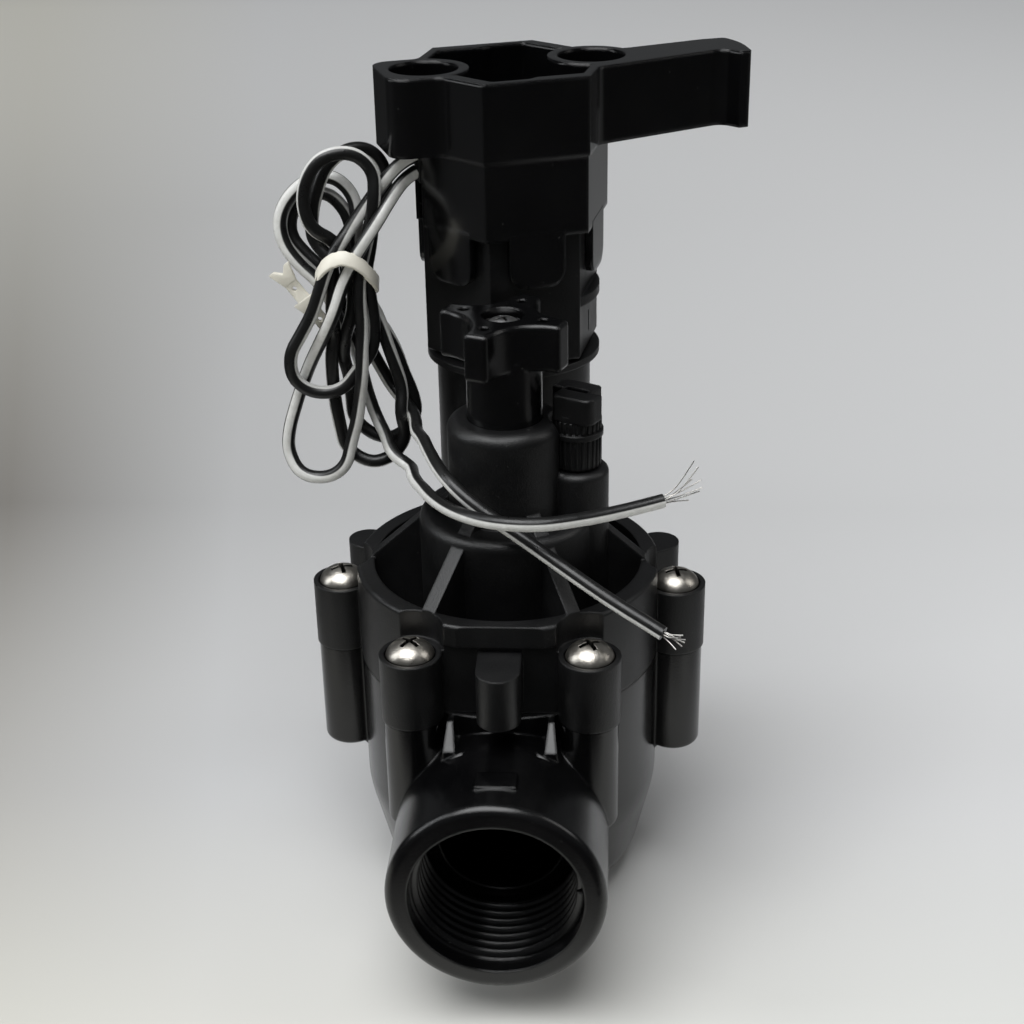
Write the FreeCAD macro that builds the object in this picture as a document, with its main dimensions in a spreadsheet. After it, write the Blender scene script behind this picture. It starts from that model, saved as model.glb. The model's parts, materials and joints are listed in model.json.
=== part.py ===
import FreeCAD, Part
import Sketcher
import math
import os

# Electric diaphragm valve for an irrigation line: a two-port body, a screwed bonnet with a flow
# control and a bleed screw, a solenoid column, and the push-on key that turns the column.
# Millimetres. Z is up, Y runs from the inlet to the outlet, and the origin is under the bolt
# circle on the plane that the bowl's foot stands on.

Vector = FreeCAD.Vector
doc = FreeCAD.newDocument("SolenoidValve")
sheet = doc.addObject("Spreadsheet::Sheet", "dims")
sheet.Label = "dims"

HEX = math.sqrt(3) / 2


class Size:
    """A driving dimension or a sum of them: its number now, and the expression FreeCAD keeps."""

    def __init__(self, value, text):
        self.value = float(value)
        self.text = text

    def __float__(self):
        return self.value

    def __add__(self, other):
        other = as_size(other)
        return Size(self.value + other.value, "(%s + %s)" % (self.text, other.text))

    def __sub__(self, other):
        other = as_size(other)
        return Size(self.value - other.value, "(%s - %s)" % (self.text, other.text))

    def __mul__(self, other):
        other = as_size(other)
        return Size(self.value * other.value, "(%s * %s)" % (self.text, other.text))

    def __truediv__(self, other):
        other = as_size(other)
        return Size(self.value / other.value, "(%s / %s)" % (self.text, other.text))

    def __neg__(self):
        return Size(-self.value, "(-1 * %s)" % self.text)


def as_size(value):
    """A Size as it is, or a plain number as a Size."""
    if isinstance(value, Size):
        return value
    return Size(value, "%.9g" % value if value >= 0 else "(%.9g)" % value)


rows = []


def size(name, value):
    """Write one driving dimension into the sheet and return it."""
    rows.append(name)
    cell = "B%d" % len(rows)
    sheet.set("A%d" % len(rows), name)
    sheet.set(cell, "%.9g" % value)
    sheet.setAlias(cell, name)
    return Size(value, "dims." + name)


# ---------------------------------------------------------------- driving dimensions
ZERO = Size(0, "0")
seat_gap = size("seat_gap", 0.3)              # between a moving piece and what it stops on
running = size("running", 0.05)               # radial clearance of a turning or sliding fit

port_height = size("port_height", 30.4)       # port axis above the foot
port_reach = size("port_reach", 57)           # bolt circle axis to a port's face
port_outer = size("port_outer", 21.4)
port_round = size("port_round", 1.8)
mouth_radius = size("mouth_radius", 17)
mouth_depth = size("mouth_depth", 3.5)
thread_radius = size("thread_radius", 16.6)   # wall of a one-inch pipe thread
thread_depth = size("thread_depth", 20)
way_radius = size("way_radius", 12.5)

bowl_radius = size("bowl_radius", 31.4)
foot_radius = size("foot_radius", 14)
bowl_wall = size("bowl_wall", 4.4)
parting = size("parting", 55.1)               # height of the face between body and bonnet
seat_height = size("seat_height", 50)
seat_wall = size("seat_wall", 3)
rim_width = size("rim_width", 2.6)            # diaphragm bead, measured outwards
rim_height = size("rim_height", 2)

bolt_circle = size("bolt_circle", 35)
boss_radius = size("boss_radius", 6.12)
body_boss_radius = size("body_boss_radius", 5.75)
boss_foot = size("boss_foot", 31)
boss_top = size("boss_top", 69.2)
screw_radius = size("screw_radius", 2.4)
screw_length = size("screw_length", 32)
screw_head_radius = size("screw_head_radius", 4.5)
screw_head_height = size("screw_head_height", 2.9)
screw_recess = size("screw_recess", 0.8)
screw_count = 6

ring_top = size("ring_top", 75.1)
ring_outer = size("ring_outer", 31.4)
ring_inner = size("ring_inner", 27.7)
moat_floor = size("moat_floor", 61)
moat_wall = size("moat_wall", 3)
dome_radius = size("dome_radius", 18)
dome_wall = size("dome_wall", 2.4)
dome_top = size("dome_top", 86.5)
dome_roof = size("dome_roof", 3.5)
neck_radius = size("neck_radius", 11.8)
neck_top = size("neck_top", 106.6)
hub_radius = size("hub_radius", 7.6)
rib_width = size("rib_width", 3)
stud_radius = size("stud_radius", 4.3)        # half-round posts between the screws
stud_circle = size("stud_circle", 36.8)
stud_foot = size("stud_foot", 58.3)
stud_top = size("stud_top", 69.3)

bleed_offset = size("bleed_offset", 14.4)
bleed_boss = size("bleed_boss", 6.45)
bleed_boss_top = size("bleed_boss_top", 96)
bleed_stem = size("bleed_stem", 3.2)
bleed_seat = size("bleed_seat", 87.2)
bleed_grip = size("bleed_grip", 4.7)
bleed_head_foot = size("bleed_head_foot", 106.9)
bleed_head_top = size("bleed_head_top", 112.2)
bleed_hole = size("bleed_hole", 1.2)

column_offset = size("column_offset", 32.3)   # solenoid axis behind the bolt circle axis
tower_radius = size("tower_radius", 12)
tower_top = size("tower_top", 75.65)
nipple_radius = size("nipple_radius", 7.95)
socket_floor = size("socket_floor", 69.5)
column_radius = size("column_radius", 16.5)
disc_radius = size("disc_radius", 18.5)
disc_foot = size("disc_foot", 108.7)
disc_height = size("disc_height", 1.5)
housing_corner = size("housing_corner", 19)
housing_foot = size("housing_foot", 110.9)
housing_top = size("housing_top", 155.1)

key_corner = size("key_corner", 21.7)
key_top = size("key_top", 170)
band_foot = size("band_foot", 154.4)
skirt_foot = size("skirt_foot", 138.6)
tongue_foot = size("tongue_foot", 128.1)
key_tilt = size("key_tilt", 20)               # degrees from the X axis to the arm

lift = size("lift", 5.6)                      # diaphragm travel, and the flow stem's
plunger_travel = size("plunger_travel", 2)

web_height = size("web_height", 1.5)          # diaphragm thickness


# ---------------------------------------------------------------- ways of making a sub-part
def origin_plane(body, role):
    """One of the body's own origin planes, such as XY_Plane."""
    return [f for f in body.Origin.OriginFeatures if f.Role == role][0]


def bind(thing, path, value):
    """Tie a property to its sizes."""
    thing.setExpression(path, as_size(value).text)


def new_body(name, x=ZERO, y=ZERO, z=ZERO, turn=ZERO):
    """An empty body with its place, turned about Z by so many degrees."""
    body = doc.addObject("PartDesign::Body", name)
    body.Label = name
    body.Placement = FreeCAD.Placement(
        Vector(float(x), float(y), float(z)), FreeCAD.Rotation(Vector(0, 0, 1), float(turn))
    )
    for axis, value in (("x", x), ("y", y), ("z", z)):
        bind(body, "Placement.Base." + axis, value)
    if turn is not ZERO:
        bind(body, "Placement.Rotation.Angle", turn)
    return body


def new_sketch(body, name, role="XY_Plane", offset=ZERO):
    """A sketch on one of the body's origin planes, moved along that plane's normal."""
    sketch = body.newObject("Sketcher::SketchObject", body.Name + "_" + name)
    sketch.AttachmentSupport = [(origin_plane(body, role), "")]
    sketch.MapMode = "FlatFace"
    sketch.AttachmentOffset = FreeCAD.Placement(Vector(0, 0, float(offset)), FreeCAD.Rotation())
    bind(sketch, "AttachmentOffset.Base.z", offset)
    return sketch


def hold(sketch, geometry, point, x, y):
    """Fix a sketch point by its two distances from the sketch's origin."""
    for kind, value in (("DistanceX", x), ("DistanceY", y)):
        index = sketch.addConstraint(Sketcher.Constraint(kind, -1, 1, geometry, point, float(value)))
        bind(sketch, "Constraints[%d]" % index, value)


def hold_radius(sketch, geometry, radius):
    """Fix the radius of a circle or an arc."""
    index = sketch.addConstraint(Sketcher.Constraint("Radius", geometry, float(radius)))
    bind(sketch, "Constraints[%d]" % index, radius)


def add_circle(sketch, radius, x=ZERO, y=ZERO):
    """A circle held by its centre and radius."""
    circle = sketch.addGeometry(
        Part.Circle(Vector(float(x), float(y), 0), Vector(0, 0, 1), float(radius)), False
    )
    hold(sketch, circle, 3, x, y)
    hold_radius(sketch, circle, radius)


def add_loop(sketch, corners):
    """A closed loop of straight sides. A corner is (x, y) or (x, y, radius of its rounding)."""
    count = len(corners)
    points = [Vector(float(c[0]), float(c[1]), 0) for c in corners]
    ends = []
    for i, corner in enumerate(corners):
        here = points[i]
        if len(corner) == 2:
            ends.append((here, here, None))
            continue
        back = (points[i - 1] - here).normalize()
        ahead = (points[(i + 1) % count] - here).normalize()
        half = back.getAngle(ahead) / 2
        run = float(corner[2]) / math.tan(half)
        centre = here + (back + ahead).normalize() * (float(corner[2]) / math.sin(half))
        middle = centre + (here - centre).normalize() * float(corner[2])
        ends.append((here + back * run, here + ahead * run, middle))
    lines = []
    for i in range(count):
        side = Part.LineSegment(ends[i][1], ends[(i + 1) % count][0])
        lines.append(sketch.addGeometry(side, False))
    for i, corner in enumerate(corners):
        before = lines[i - 1]
        after = lines[i]
        if len(corner) == 2:
            sketch.addConstraint(Sketcher.Constraint("Coincident", before, 2, after, 1))
            hold(sketch, after, 1, corner[0], corner[1])
            continue
        start, stop, middle = ends[i]
        arc = sketch.addGeometry(Part.Arc(start, middle, stop), False)
        first = 1 if sketch.getPoint(arc, 1).distanceToPoint(start) < 1e-6 else 2
        vertex = sketch.addGeometry(Part.Point(points[i]), True)
        hold(sketch, vertex, 1, corner[0], corner[1])
        sketch.addConstraint(Sketcher.Constraint("Tangent", before, 2, arc, first))
        sketch.addConstraint(Sketcher.Constraint("Tangent", after, 1, arc, 3 - first))
        sketch.addConstraint(Sketcher.Constraint("PointOnObject", vertex, 1, before))
        sketch.addConstraint(Sketcher.Constraint("PointOnObject", vertex, 1, after))
        hold_radius(sketch, arc, corner[2])


def tip(body, feature):
    """Make a feature the body's last one."""
    body.Tip = feature
    return feature


def turned(body, name, corners, cut=False):
    """Revolve a profile of (radius, height) corners about Z, as a solid or as a cut."""
    sketch = new_sketch(body, name + "_profile", "XZ_Plane")
    add_loop(sketch, corners)
    kind = "PartDesign::Groove" if cut else "PartDesign::Revolution"
    feature = body.newObject(kind, body.Name + "_" + name)
    feature.Profile = sketch
    feature.ReferenceAxis = (sketch, ["V_Axis"])
    feature.Angle = 360
    return tip(body, feature)


def drawn(body, name, draw, low, high, role="XY_Plane", cut=False):
    """Pad or pocket what draw() puts in a sketch, from low to high along the plane's axis."""
    sketch = new_sketch(body, name + "_outline", role, low if role != "XZ_Plane" else -low)
    draw(sketch)
    feature = body.newObject("PartDesign::Pocket" if cut else "PartDesign::Pad", body.Name + "_" + name)
    feature.Profile = sketch
    bind(feature, "Length", high - low)
    # A pocket runs against its sketch's normal, and the XZ plane's normal points along -Y.
    feature.Reversed = cut != (role == "XZ_Plane")
    return tip(body, feature)


def repeated(body, name, features, count):
    """Copy features evenly round the body's Z axis."""
    pattern = body.newObject("PartDesign::PolarPattern", body.Name + "_" + name)
    pattern.Originals = features
    pattern.Axis = ([f for f in body.Origin.OriginFeatures if f.Role == "Z_Axis"][0], [""])
    pattern.Angle = 360
    pattern.Occurrences = count
    return tip(body, pattern)


def rounded(body, name, feature, radius, wanted):
    """Fillet the edges of a feature that wanted(edge) picks."""
    doc.recompute()
    names = ["Edge%d" % (i + 1) for i, e in enumerate(feature.Shape.Edges) if wanted(e)]
    if not names:
        raise ValueError("no edge for " + name)
    fillet = body.newObject("PartDesign::Fillet", body.Name + "_" + name)
    fillet.Base = (feature, names)
    bind(fillet, "Radius", radius)
    return tip(body, fillet)


def level(edge, height):
    """True for an edge that lies wholly at this height."""
    box = edge.BoundBox
    return abs(box.ZMin - float(height)) < 1e-4 and abs(box.ZMax - float(height)) < 1e-4


def disc(radius, x=ZERO, y=ZERO):
    """A drawing of one circle, for drawn()."""
    return lambda sketch: add_circle(sketch, radius, x, y)


def ring(outer, inner, x=ZERO, y=ZERO):
    """A drawing of two circles about one centre."""

    def draw(sketch):
        add_circle(sketch, outer, x, y)
        add_circle(sketch, inner, x, y)

    return draw


def shape_of(*corners):
    """A drawing of one closed loop."""
    return lambda sketch: add_loop(sketch, corners)


def block(x0, x1, y0, y1):
    """A drawing of a rectangle."""
    return shape_of((x0, y0), (x1, y0), (x1, y1), (x0, y1))


def hexagon(corner):
    """A drawing of a hexagon with two corners on the X axis."""
    side = corner * HEX
    half = corner / 2
    return shape_of(
        (corner, ZERO), (half, side), (-half, side), (-corner, ZERO), (-half, -side), (half, -side)
    )


def polar(distance, degrees, across=ZERO):
    """A point out along a direction and then across it, counter-clockwise."""
    turn = math.radians(degrees)
    return (
        distance * math.cos(turn) - across * math.sin(turn),
        distance * math.sin(turn) + across * math.cos(turn),
    )


def o_ring(name, centre_radius, section, x, y, z):
    """A rubber ring lying flat."""
    torus = doc.addObject("Part::Torus", name)
    torus.Label = name
    bind(torus, "Radius1", centre_radius)
    bind(torus, "Radius2", section)
    for axis, value in (("x", x), ("y", y), ("z", z)):
        bind(torus, "Placement.Base." + axis, value)
    return torus


def coil_spring(name, radius, wire, foot, top, turns, y=ZERO):
    """A round-wire compression spring between two heights."""
    body = new_body(name, ZERO, y, foot + wire)
    sketch = new_sketch(body, "wire", "XZ_Plane")
    add_circle(sketch, wire, radius, ZERO)
    helix = body.newObject("PartDesign::AdditiveHelix", name + "_coil")
    helix.Profile = sketch
    helix.ReferenceAxis = (sketch, ["V_Axis"])
    helix.Mode = "pitch-height-angle"
    bind(helix, "Pitch", (top - foot - wire * 2) / turns)
    bind(helix, "Height", top - foot - wire * 2)
    tip(body, helix)
    return body


# ---------------------------------------------------------------- body
belly_low = size("belly_low", 5.5)
belly_low_round = size("belly_low_round", 8)
belly_high = size("belly_high", 24)
belly_high_round = size("belly_high_round", 22)
boss_round = size("boss_round", 1.2)
cavity_radius = bowl_radius - bowl_wall
bead_radius = cavity_radius + rim_width
pilot_floor = size("pilot_floor", 35)
pilot_way = size("pilot_way", 1)              # radius of the ways to and from the solenoid
pilot_return = size("pilot_return", 28.3)     # their distances from the axis
pilot_supply = size("pilot_supply", 25.9)
over = size("over", 1)                        # how far a cut runs past the face it opens


def turn_profile(wall):
    """The bowl's outline, or with a wall thickness the outline of its room."""
    return [
        (ZERO, wall),
        (foot_radius, wall),
        (bowl_radius - bowl_wall - wall, belly_low + wall, belly_low_round),
        (bowl_radius - wall, belly_high + wall, belly_high_round - wall),
    ]


body = new_body("valve_body")
turned(body, "bowl", turn_profile(ZERO) + [(bowl_radius, parting), (ZERO, parting)])
boss = drawn(body, "boss", disc(body_boss_radius, bolt_circle), boss_foot, parting)
bosses = repeated(body, "bosses", [boss], screw_count)
rounded(body, "boss_ends", bosses, boss_round, lambda e: level(e, boss_foot))
ports = drawn(body, "ports", disc(port_outer, ZERO, port_height), -port_reach, port_reach, "XZ_Plane")
rounded(
    body, "port_rims", ports, port_round,
    lambda e: e.BoundBox.YLength < 1e-4 and abs(abs(e.BoundBox.YMin) - float(port_reach)) < 1e-4,
)
turned(
    body, "room",
    turn_profile(bowl_wall)
    + [
        (cavity_radius, parting - rim_height),
        (bead_radius, parting - rim_height),
        (bead_radius, parting + over),
        (ZERO, parting + over),
    ],
    cut=True,
)
turned(
    body, "seat",
    [
        (ZERO, bowl_wall / 2),
        (way_radius + seat_wall, bowl_wall / 2),
        (way_radius + seat_wall, seat_height, size("seat_round", 1)),
        (ZERO, seat_height),
    ],
)
drawn(
    body, "outlet_pipe", disc(way_radius + seat_wall, ZERO, port_height), ZERO, port_reach - thread_depth,
    "XZ_Plane",
)
turned(
    body, "seat_way",
    [
        (ZERO, port_height),
        (way_radius, port_height),
        (way_radius, seat_height + over),
        (ZERO, seat_height + over),
    ],
    cut=True,
)
drawn(body, "outlet_way", disc(way_radius, ZERO, port_height), ZERO, port_reach, "XZ_Plane", cut=True)
drawn(
    body, "inlet_way", disc(way_radius, ZERO, port_height),
    -port_reach, -(way_radius + seat_wall + over), "XZ_Plane", cut=True,
)
for name, radius, depth in (("thread", thread_radius, thread_depth), ("mouth", mouth_radius, mouth_depth)):
    drawn(
        body, "inlet_" + name, disc(radius, ZERO, port_height),
        -port_reach, depth - port_reach, "XZ_Plane", cut=True,
    )
    drawn(
        body, "outlet_" + name, disc(radius, ZERO, port_height),
        port_reach - depth, port_reach, "XZ_Plane", cut=True,
    )
pilot = drawn(body, "pilot", disc(screw_radius + running, bolt_circle), pilot_floor, parting, cut=True)
repeated(body, "pilots", [pilot], screw_count)
# Two tapered fins stiffen the corner between the inlet and the bowl, and a pad marks the inlet's top.
fin_centre = size("fin_centre", 10)
fin_base = size("fin_base", 1.75)             # half its width at the foot
fin_tip = size("fin_tip", 0.6)
fin_foot = size("fin_foot", 47)
fin_front = size("fin_front", 36.6)
fin_back = size("fin_back", 29)
fin_slope = size("fin_slope", 31.2)
fin_shoulder = size("fin_shoulder", 50.4)
fin_top = size("fin_top", 54.8)
for name, centre in (("left", -fin_centre), ("right", fin_centre)):
    drawn(
        body, "fin_" + name,
        shape_of(
            (centre - fin_base, fin_foot), (centre + fin_base, fin_foot),
            (centre + fin_tip, fin_top), (centre - fin_tip, fin_top),
        ),
        -fin_front, -fin_back, "XZ_Plane",
    )
    drawn(
        body, "fin_slope_" + name,
        shape_of(
            (-(fin_front + over), fin_shoulder - over), (-fin_slope, fin_top + over),
            (-(fin_front + over), fin_top + over),
        ),
        centre - fin_base - over, centre + fin_base + over, "YZ_Plane", cut=True,
    )
pad_width = size("pad_width", 4)
pad_front = size("pad_front", 50.5)
pad_back = size("pad_back", 45.5)
pad_height = size("pad_height", 0.4)
drawn(
    body, "pad", block(-pad_width, pad_width, -pad_front, -pad_back),
    port_height + thread_radius + over, port_height + port_outer + pad_height,
)
drawn(body, "outlet_bleed", disc(pilot_way, ZERO, pilot_return), port_height, parting, cut=True)

# ---------------------------------------------------------------- bonnet
stud_count = 3
bonnet = new_body("bonnet")
turned(
    bonnet, "shell",
    [
        (ZERO, parting),
        (ring_outer, parting),
        (ring_outer, ring_top, size("ring_round", 0.8)),
        (ring_inner, ring_top),
        (ring_inner, moat_floor),
        (dome_radius, moat_floor),
        (dome_radius, dome_top, size("dome_round", 2)),
        (neck_radius, dome_top),
        (neck_radius, neck_top, size("neck_round", 2.4)),
        (ZERO, neck_top),
    ],
)
ring_flat = size("ring_flat", 30.2)           # distance of the ring's front flat from the axis
drawn(
    bonnet, "flat", block(-ring_outer, ring_outer, -(ring_flat + bolt_circle), -ring_flat),
    parting, ring_top + over, cut=True,
)
lip_height = size("lip_height", 4.6)          # the flat's upper band stands proud of the wall below it
lip_depth = size("lip_depth", 1.1)
drawn(
    bonnet, "lip", block(-ring_outer, ring_outer, -(ring_flat + bolt_circle), -(ring_flat - lip_depth)),
    parting, ring_top - lip_height, cut=True,
)
boss = drawn(bonnet, "boss", disc(boss_radius, bolt_circle), parting, boss_top)
repeated(bonnet, "bosses", [boss], screw_count)
stud = drawn(bonnet, "stud", disc(stud_radius, ZERO, -stud_circle), stud_foot, stud_top)
repeated(bonnet, "studs", [stud], stud_count)
stud_web = drawn(
    bonnet, "stud_web", block(-stud_radius, stud_radius, -stud_circle, -ring_inner), stud_foot, stud_top
)
repeated(bonnet, "stud_webs", [stud_web], stud_count)
rib = drawn(
    bonnet, "rib",
    shape_of(
        (hub_radius + over, moat_floor - over),
        (ring_inner + over, moat_floor - over),
        (ring_inner + over, ring_top),
        (dome_radius - over, dome_top - over),
        (neck_radius, dome_top + rib_width),
        (hub_radius + over, dome_top + rib_width),
    ),
    -(rib_width / 2), rib_width / 2, "XZ_Plane",
)
repeated(bonnet, "ribs", [rib], screw_count)
bleed_post = drawn(bonnet, "bleed_boss", disc(bleed_boss, bleed_offset), moat_floor, bleed_boss_top)
rounded(
    bonnet, "bleed_boss_edge", bleed_post, size("bleed_boss_round", 1.4),
    lambda e: level(e, bleed_boss_top),
)
drawn(bonnet, "tower", disc(tower_radius, ZERO, column_offset), parting, tower_top)
dome_bore = dome_radius - dome_wall
spring_room = size("spring_room", 12.6)
spring_room_foot = size("spring_room_foot", 72)
turned(
    bonnet, "room",
    [
        (ZERO, parting - over),
        (cavity_radius, parting - over),
        (cavity_radius, moat_floor - moat_wall),
        (dome_bore, moat_floor - moat_wall),
        (dome_bore, spring_room_foot),
        (spring_room, spring_room_foot),
        (spring_room, dome_top - dome_roof),
        (hub_radius + running, dome_top - dome_roof),
        (hub_radius + running, neck_top + over),
        (ZERO, neck_top + over),
    ],
    cut=True,
)
scallop = size("scallop", 6.6)
notch = drawn(bonnet, "scallop", disc(scallop, bolt_circle), boss_top, ring_top + over, cut=True)
repeated(bonnet, "scallops", [notch], screw_count)
recess = drawn(
    bonnet, "recess", disc(screw_head_radius + seat_gap * 2, bolt_circle),
    boss_top - screw_recess, boss_top, cut=True,
)
repeated(bonnet, "recesses", [recess], screw_count)
hole = drawn(bonnet, "screw_hole", disc(screw_radius + seat_gap, bolt_circle), parting, boss_top, cut=True)
repeated(bonnet, "screw_holes", [hole], screw_count)
drawn(
    bonnet, "column_bay", disc(column_radius + seat_gap, ZERO, column_offset), tower_top, neck_top,
    cut=True,
)
neck_scallop = size("neck_scallop", 5.8)      # clears the bleed screw's collar
drawn(bonnet, "neck_scallop", disc(neck_scallop, bleed_offset), bleed_boss_top, neck_top + over, cut=True)
drawn(bonnet, "bleed_bore", disc(bleed_stem + running, bleed_offset), bleed_seat, bleed_boss_top, cut=True)
drawn(bonnet, "bleed_way", disc(bleed_hole, bleed_offset), dome_top - dome_roof - over, bleed_seat, cut=True)
drawn(bonnet, "socket", disc(nipple_radius + running, ZERO, column_offset), socket_floor, tower_top, cut=True)
drawn(bonnet, "pilot_way", disc(pilot_way, ZERO, pilot_supply), parting, socket_floor, cut=True)
drawn(bonnet, "pilot_return", disc(pilot_way, ZERO, pilot_return), parting - over, socket_floor, cut=True)

# ---------------------------------------------------------------- screws between bonnet and body
screw_seat = boss_top - screw_recess
screws = new_body("bonnet_screws")
screws.AllowCompound = True
shank = drawn(screws, "shank", disc(screw_radius, bolt_circle), screw_seat - screw_length, screw_seat)
head = drawn(screws, "head", disc(screw_head_radius, bolt_circle), screw_seat, screw_seat + screw_head_height)
screw_set = repeated(screws, "set", [shank, head], screw_count)
rounded(
    screws, "crowns", screw_set, size("screw_crown", 1.7),
    lambda e: level(e, screw_seat + screw_head_height),
)

# ---------------------------------------------------------------- diaphragm and what moves with it
seal_height = size("seal_height", 2)
holder_height = size("holder_height", 1.3)
plate_height = size("plate_height", 2.2)
plate_radius = size("plate_radius", 14)
guide_hub = size("guide_hub", 5)
guide_fin = size("guide_fin", 2.2)
guide_foot = size("guide_foot", 34)
guide_shoulder = size("guide_shoulder", 2)
seal_foot = seat_height + seat_gap
holder_foot = seal_foot + seal_height
web_foot = holder_foot + holder_height
plate_foot = web_foot + web_height
plate_top = plate_foot + plate_height
seal_radius = way_radius + seat_wall - seat_gap

guide = new_body("diaphragm_guide")
turned(
    guide, "hub",
    [
        (ZERO, guide_foot),
        (guide_hub, guide_foot),
        (guide_hub, seal_foot - guide_shoulder),
        (way_radius - seat_gap, seal_foot - guide_shoulder),
        (way_radius - seat_gap, seal_foot),
        (guide_hub, seal_foot),
        (guide_hub, plate_top - seat_gap),
        (ZERO, plate_top - seat_gap),
    ],
)
fin = drawn(
    guide, "fin", block(guide_hub - over, way_radius - seat_gap, -(guide_fin / 2), guide_fin / 2),
    guide_foot, seal_foot - guide_shoulder,
)
repeated(guide, "fins", [fin], 4)
guide_screw = size("guide_screw", 1.9)
guide_screw_length = size("guide_screw_length", 16)
drawn(
    guide, "screw_hole", disc(guide_screw + running),
    plate_top - guide_screw_length - over, plate_top, cut=True,
)

seal = new_body("seat_disc")
turned(
    seal, "ring",
    [
        (guide_hub + running, seal_foot),
        (seal_radius, seal_foot),
        (seal_radius, holder_foot),
        (guide_hub + running, holder_foot),
    ],
)
holder = new_body("seat_disc_holder")
turned(
    holder, "ring",
    [
        (guide_hub + running, holder_foot),
        (seal_radius, holder_foot),
        (seal_radius, web_foot),
        (guide_hub + running, web_foot),
    ],
)
diaphragm = new_body("diaphragm")
turned(
    diaphragm, "web",
    [
        (guide_hub + running, web_foot),
        (cavity_radius + running, web_foot),
        (cavity_radius + running, parting - rim_height),
        (bead_radius - running, parting - rim_height),
        (bead_radius - running, parting),
        (guide_hub + running, parting),
    ],
)
drawn(
    diaphragm, "bleed_hole", disc(pilot_way, ZERO, pilot_return),
    parting - rim_height - over, parting + over, cut=True,
)
plate = new_body("diaphragm_plate")
spring_radius = size("spring_radius", 9)
spring_wire = size("spring_wire", 0.75)
turned(
    plate, "disc",
    [
        (guide_hub + running, plate_foot),
        (plate_radius, plate_foot, size("plate_round", 0.5)),
        (plate_radius, plate_top),
        (spring_radius + spring_wire * 3, plate_top),
        (spring_radius + spring_wire * 3, plate_top + spring_wire),
        (spring_radius + spring_wire + seat_gap, plate_top + spring_wire),
        (spring_radius + spring_wire + seat_gap, plate_top),
        (guide_hub + running, plate_top),
    ],
)
retainer = new_body("diaphragm_screw")
retainer_head = size("retainer_head", 6.4)
retainer_height = size("retainer_height", 2.4)
turned(
    retainer, "screw",
    [
        (ZERO, plate_top - guide_screw_length),
        (guide_screw, plate_top - guide_screw_length),
        (guide_screw, plate_top),
        (retainer_head, plate_top),
        (retainer_head, plate_top + retainer_height, size("retainer_round", 0.6)),
        (ZERO, plate_top + retainer_height),
    ],
)
coil_spring(
    "closing_spring", spring_radius, spring_wire, plate_top + running, dome_top - dome_roof - running, 6
)

# ---------------------------------------------------------------- flow control
thrust_radius = size("thrust_radius", 6)
thrust_height = size("thrust_height", 3.8)
thrust_floor = size("thrust_floor", 1.3)
stem_radius = size("stem_radius", 3.5)
stem_top = size("stem_top", 122)
stem_pin = size("stem_pin", 2.2)
handle_foot = size("handle_foot", 118.2)
handle_top = size("handle_top", 127.9)
handle_reach = size("handle_reach", 13)
handle_tip = size("handle_tip", 2.5)          # half the width of a lobe's end
handle_edge = size("handle_edge", 0.9)
handle_turn = size("handle_turn", 22)         # degrees from the X axis back to a lobe
lobe_hole = size("lobe_hole", 1.1)
lobe_hole_offset = size("lobe_hole_offset", 8.6)
lobe_hole_depth = size("lobe_hole_depth", 4)
lobe_count = 4
hub_foot = size("hub_foot", 92)
hub_ring_height = size("hub_ring_height", 96)
hub_ring_section = size("hub_ring_section", 0.88)
hub_groove = size("hub_groove", 1.8)
handle_screw_radius = size("handle_screw_radius", 1.6)
handle_screw_foot = size("handle_screw_foot", 117.5)
handle_screw_head = size("handle_screw_head", 3.4)
handle_screw_height = size("handle_screw_height", 1.6)
handle_dish = size("handle_dish", 4.3)
dish_depth = size("dish_depth", 2.2)
retainer_top = plate_top + retainer_height
thrust_foot = retainer_top + lift + seat_gap
stem_foot = thrust_foot + thrust_height + seat_gap
dish_floor = handle_top - dish_depth

thrust = new_body("flow_thrust_pad")
turned(
    thrust, "pad",
    [
        (ZERO, thrust_foot),
        (thrust_radius, thrust_foot, size("thrust_round", 0.6)),
        (thrust_radius, thrust_foot + thrust_height),
        (stem_pin + running, thrust_foot + thrust_height),
        (stem_pin + running, thrust_foot + thrust_floor),
        (ZERO, thrust_foot + thrust_floor),
    ],
)

stem = new_body("flow_stem")
turned(
    stem, "stem",
    [
        (ZERO, thrust_foot + thrust_floor + running),
        (stem_pin, thrust_foot + thrust_floor + running),
        (stem_pin, stem_foot),
        (stem_radius, stem_foot),
        (stem_radius, stem_top),
        (ZERO, stem_top),
    ],
)
drawn(stem, "screw_hole", disc(handle_screw_radius + running), handle_screw_foot - over, stem_top, cut=True)

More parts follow.
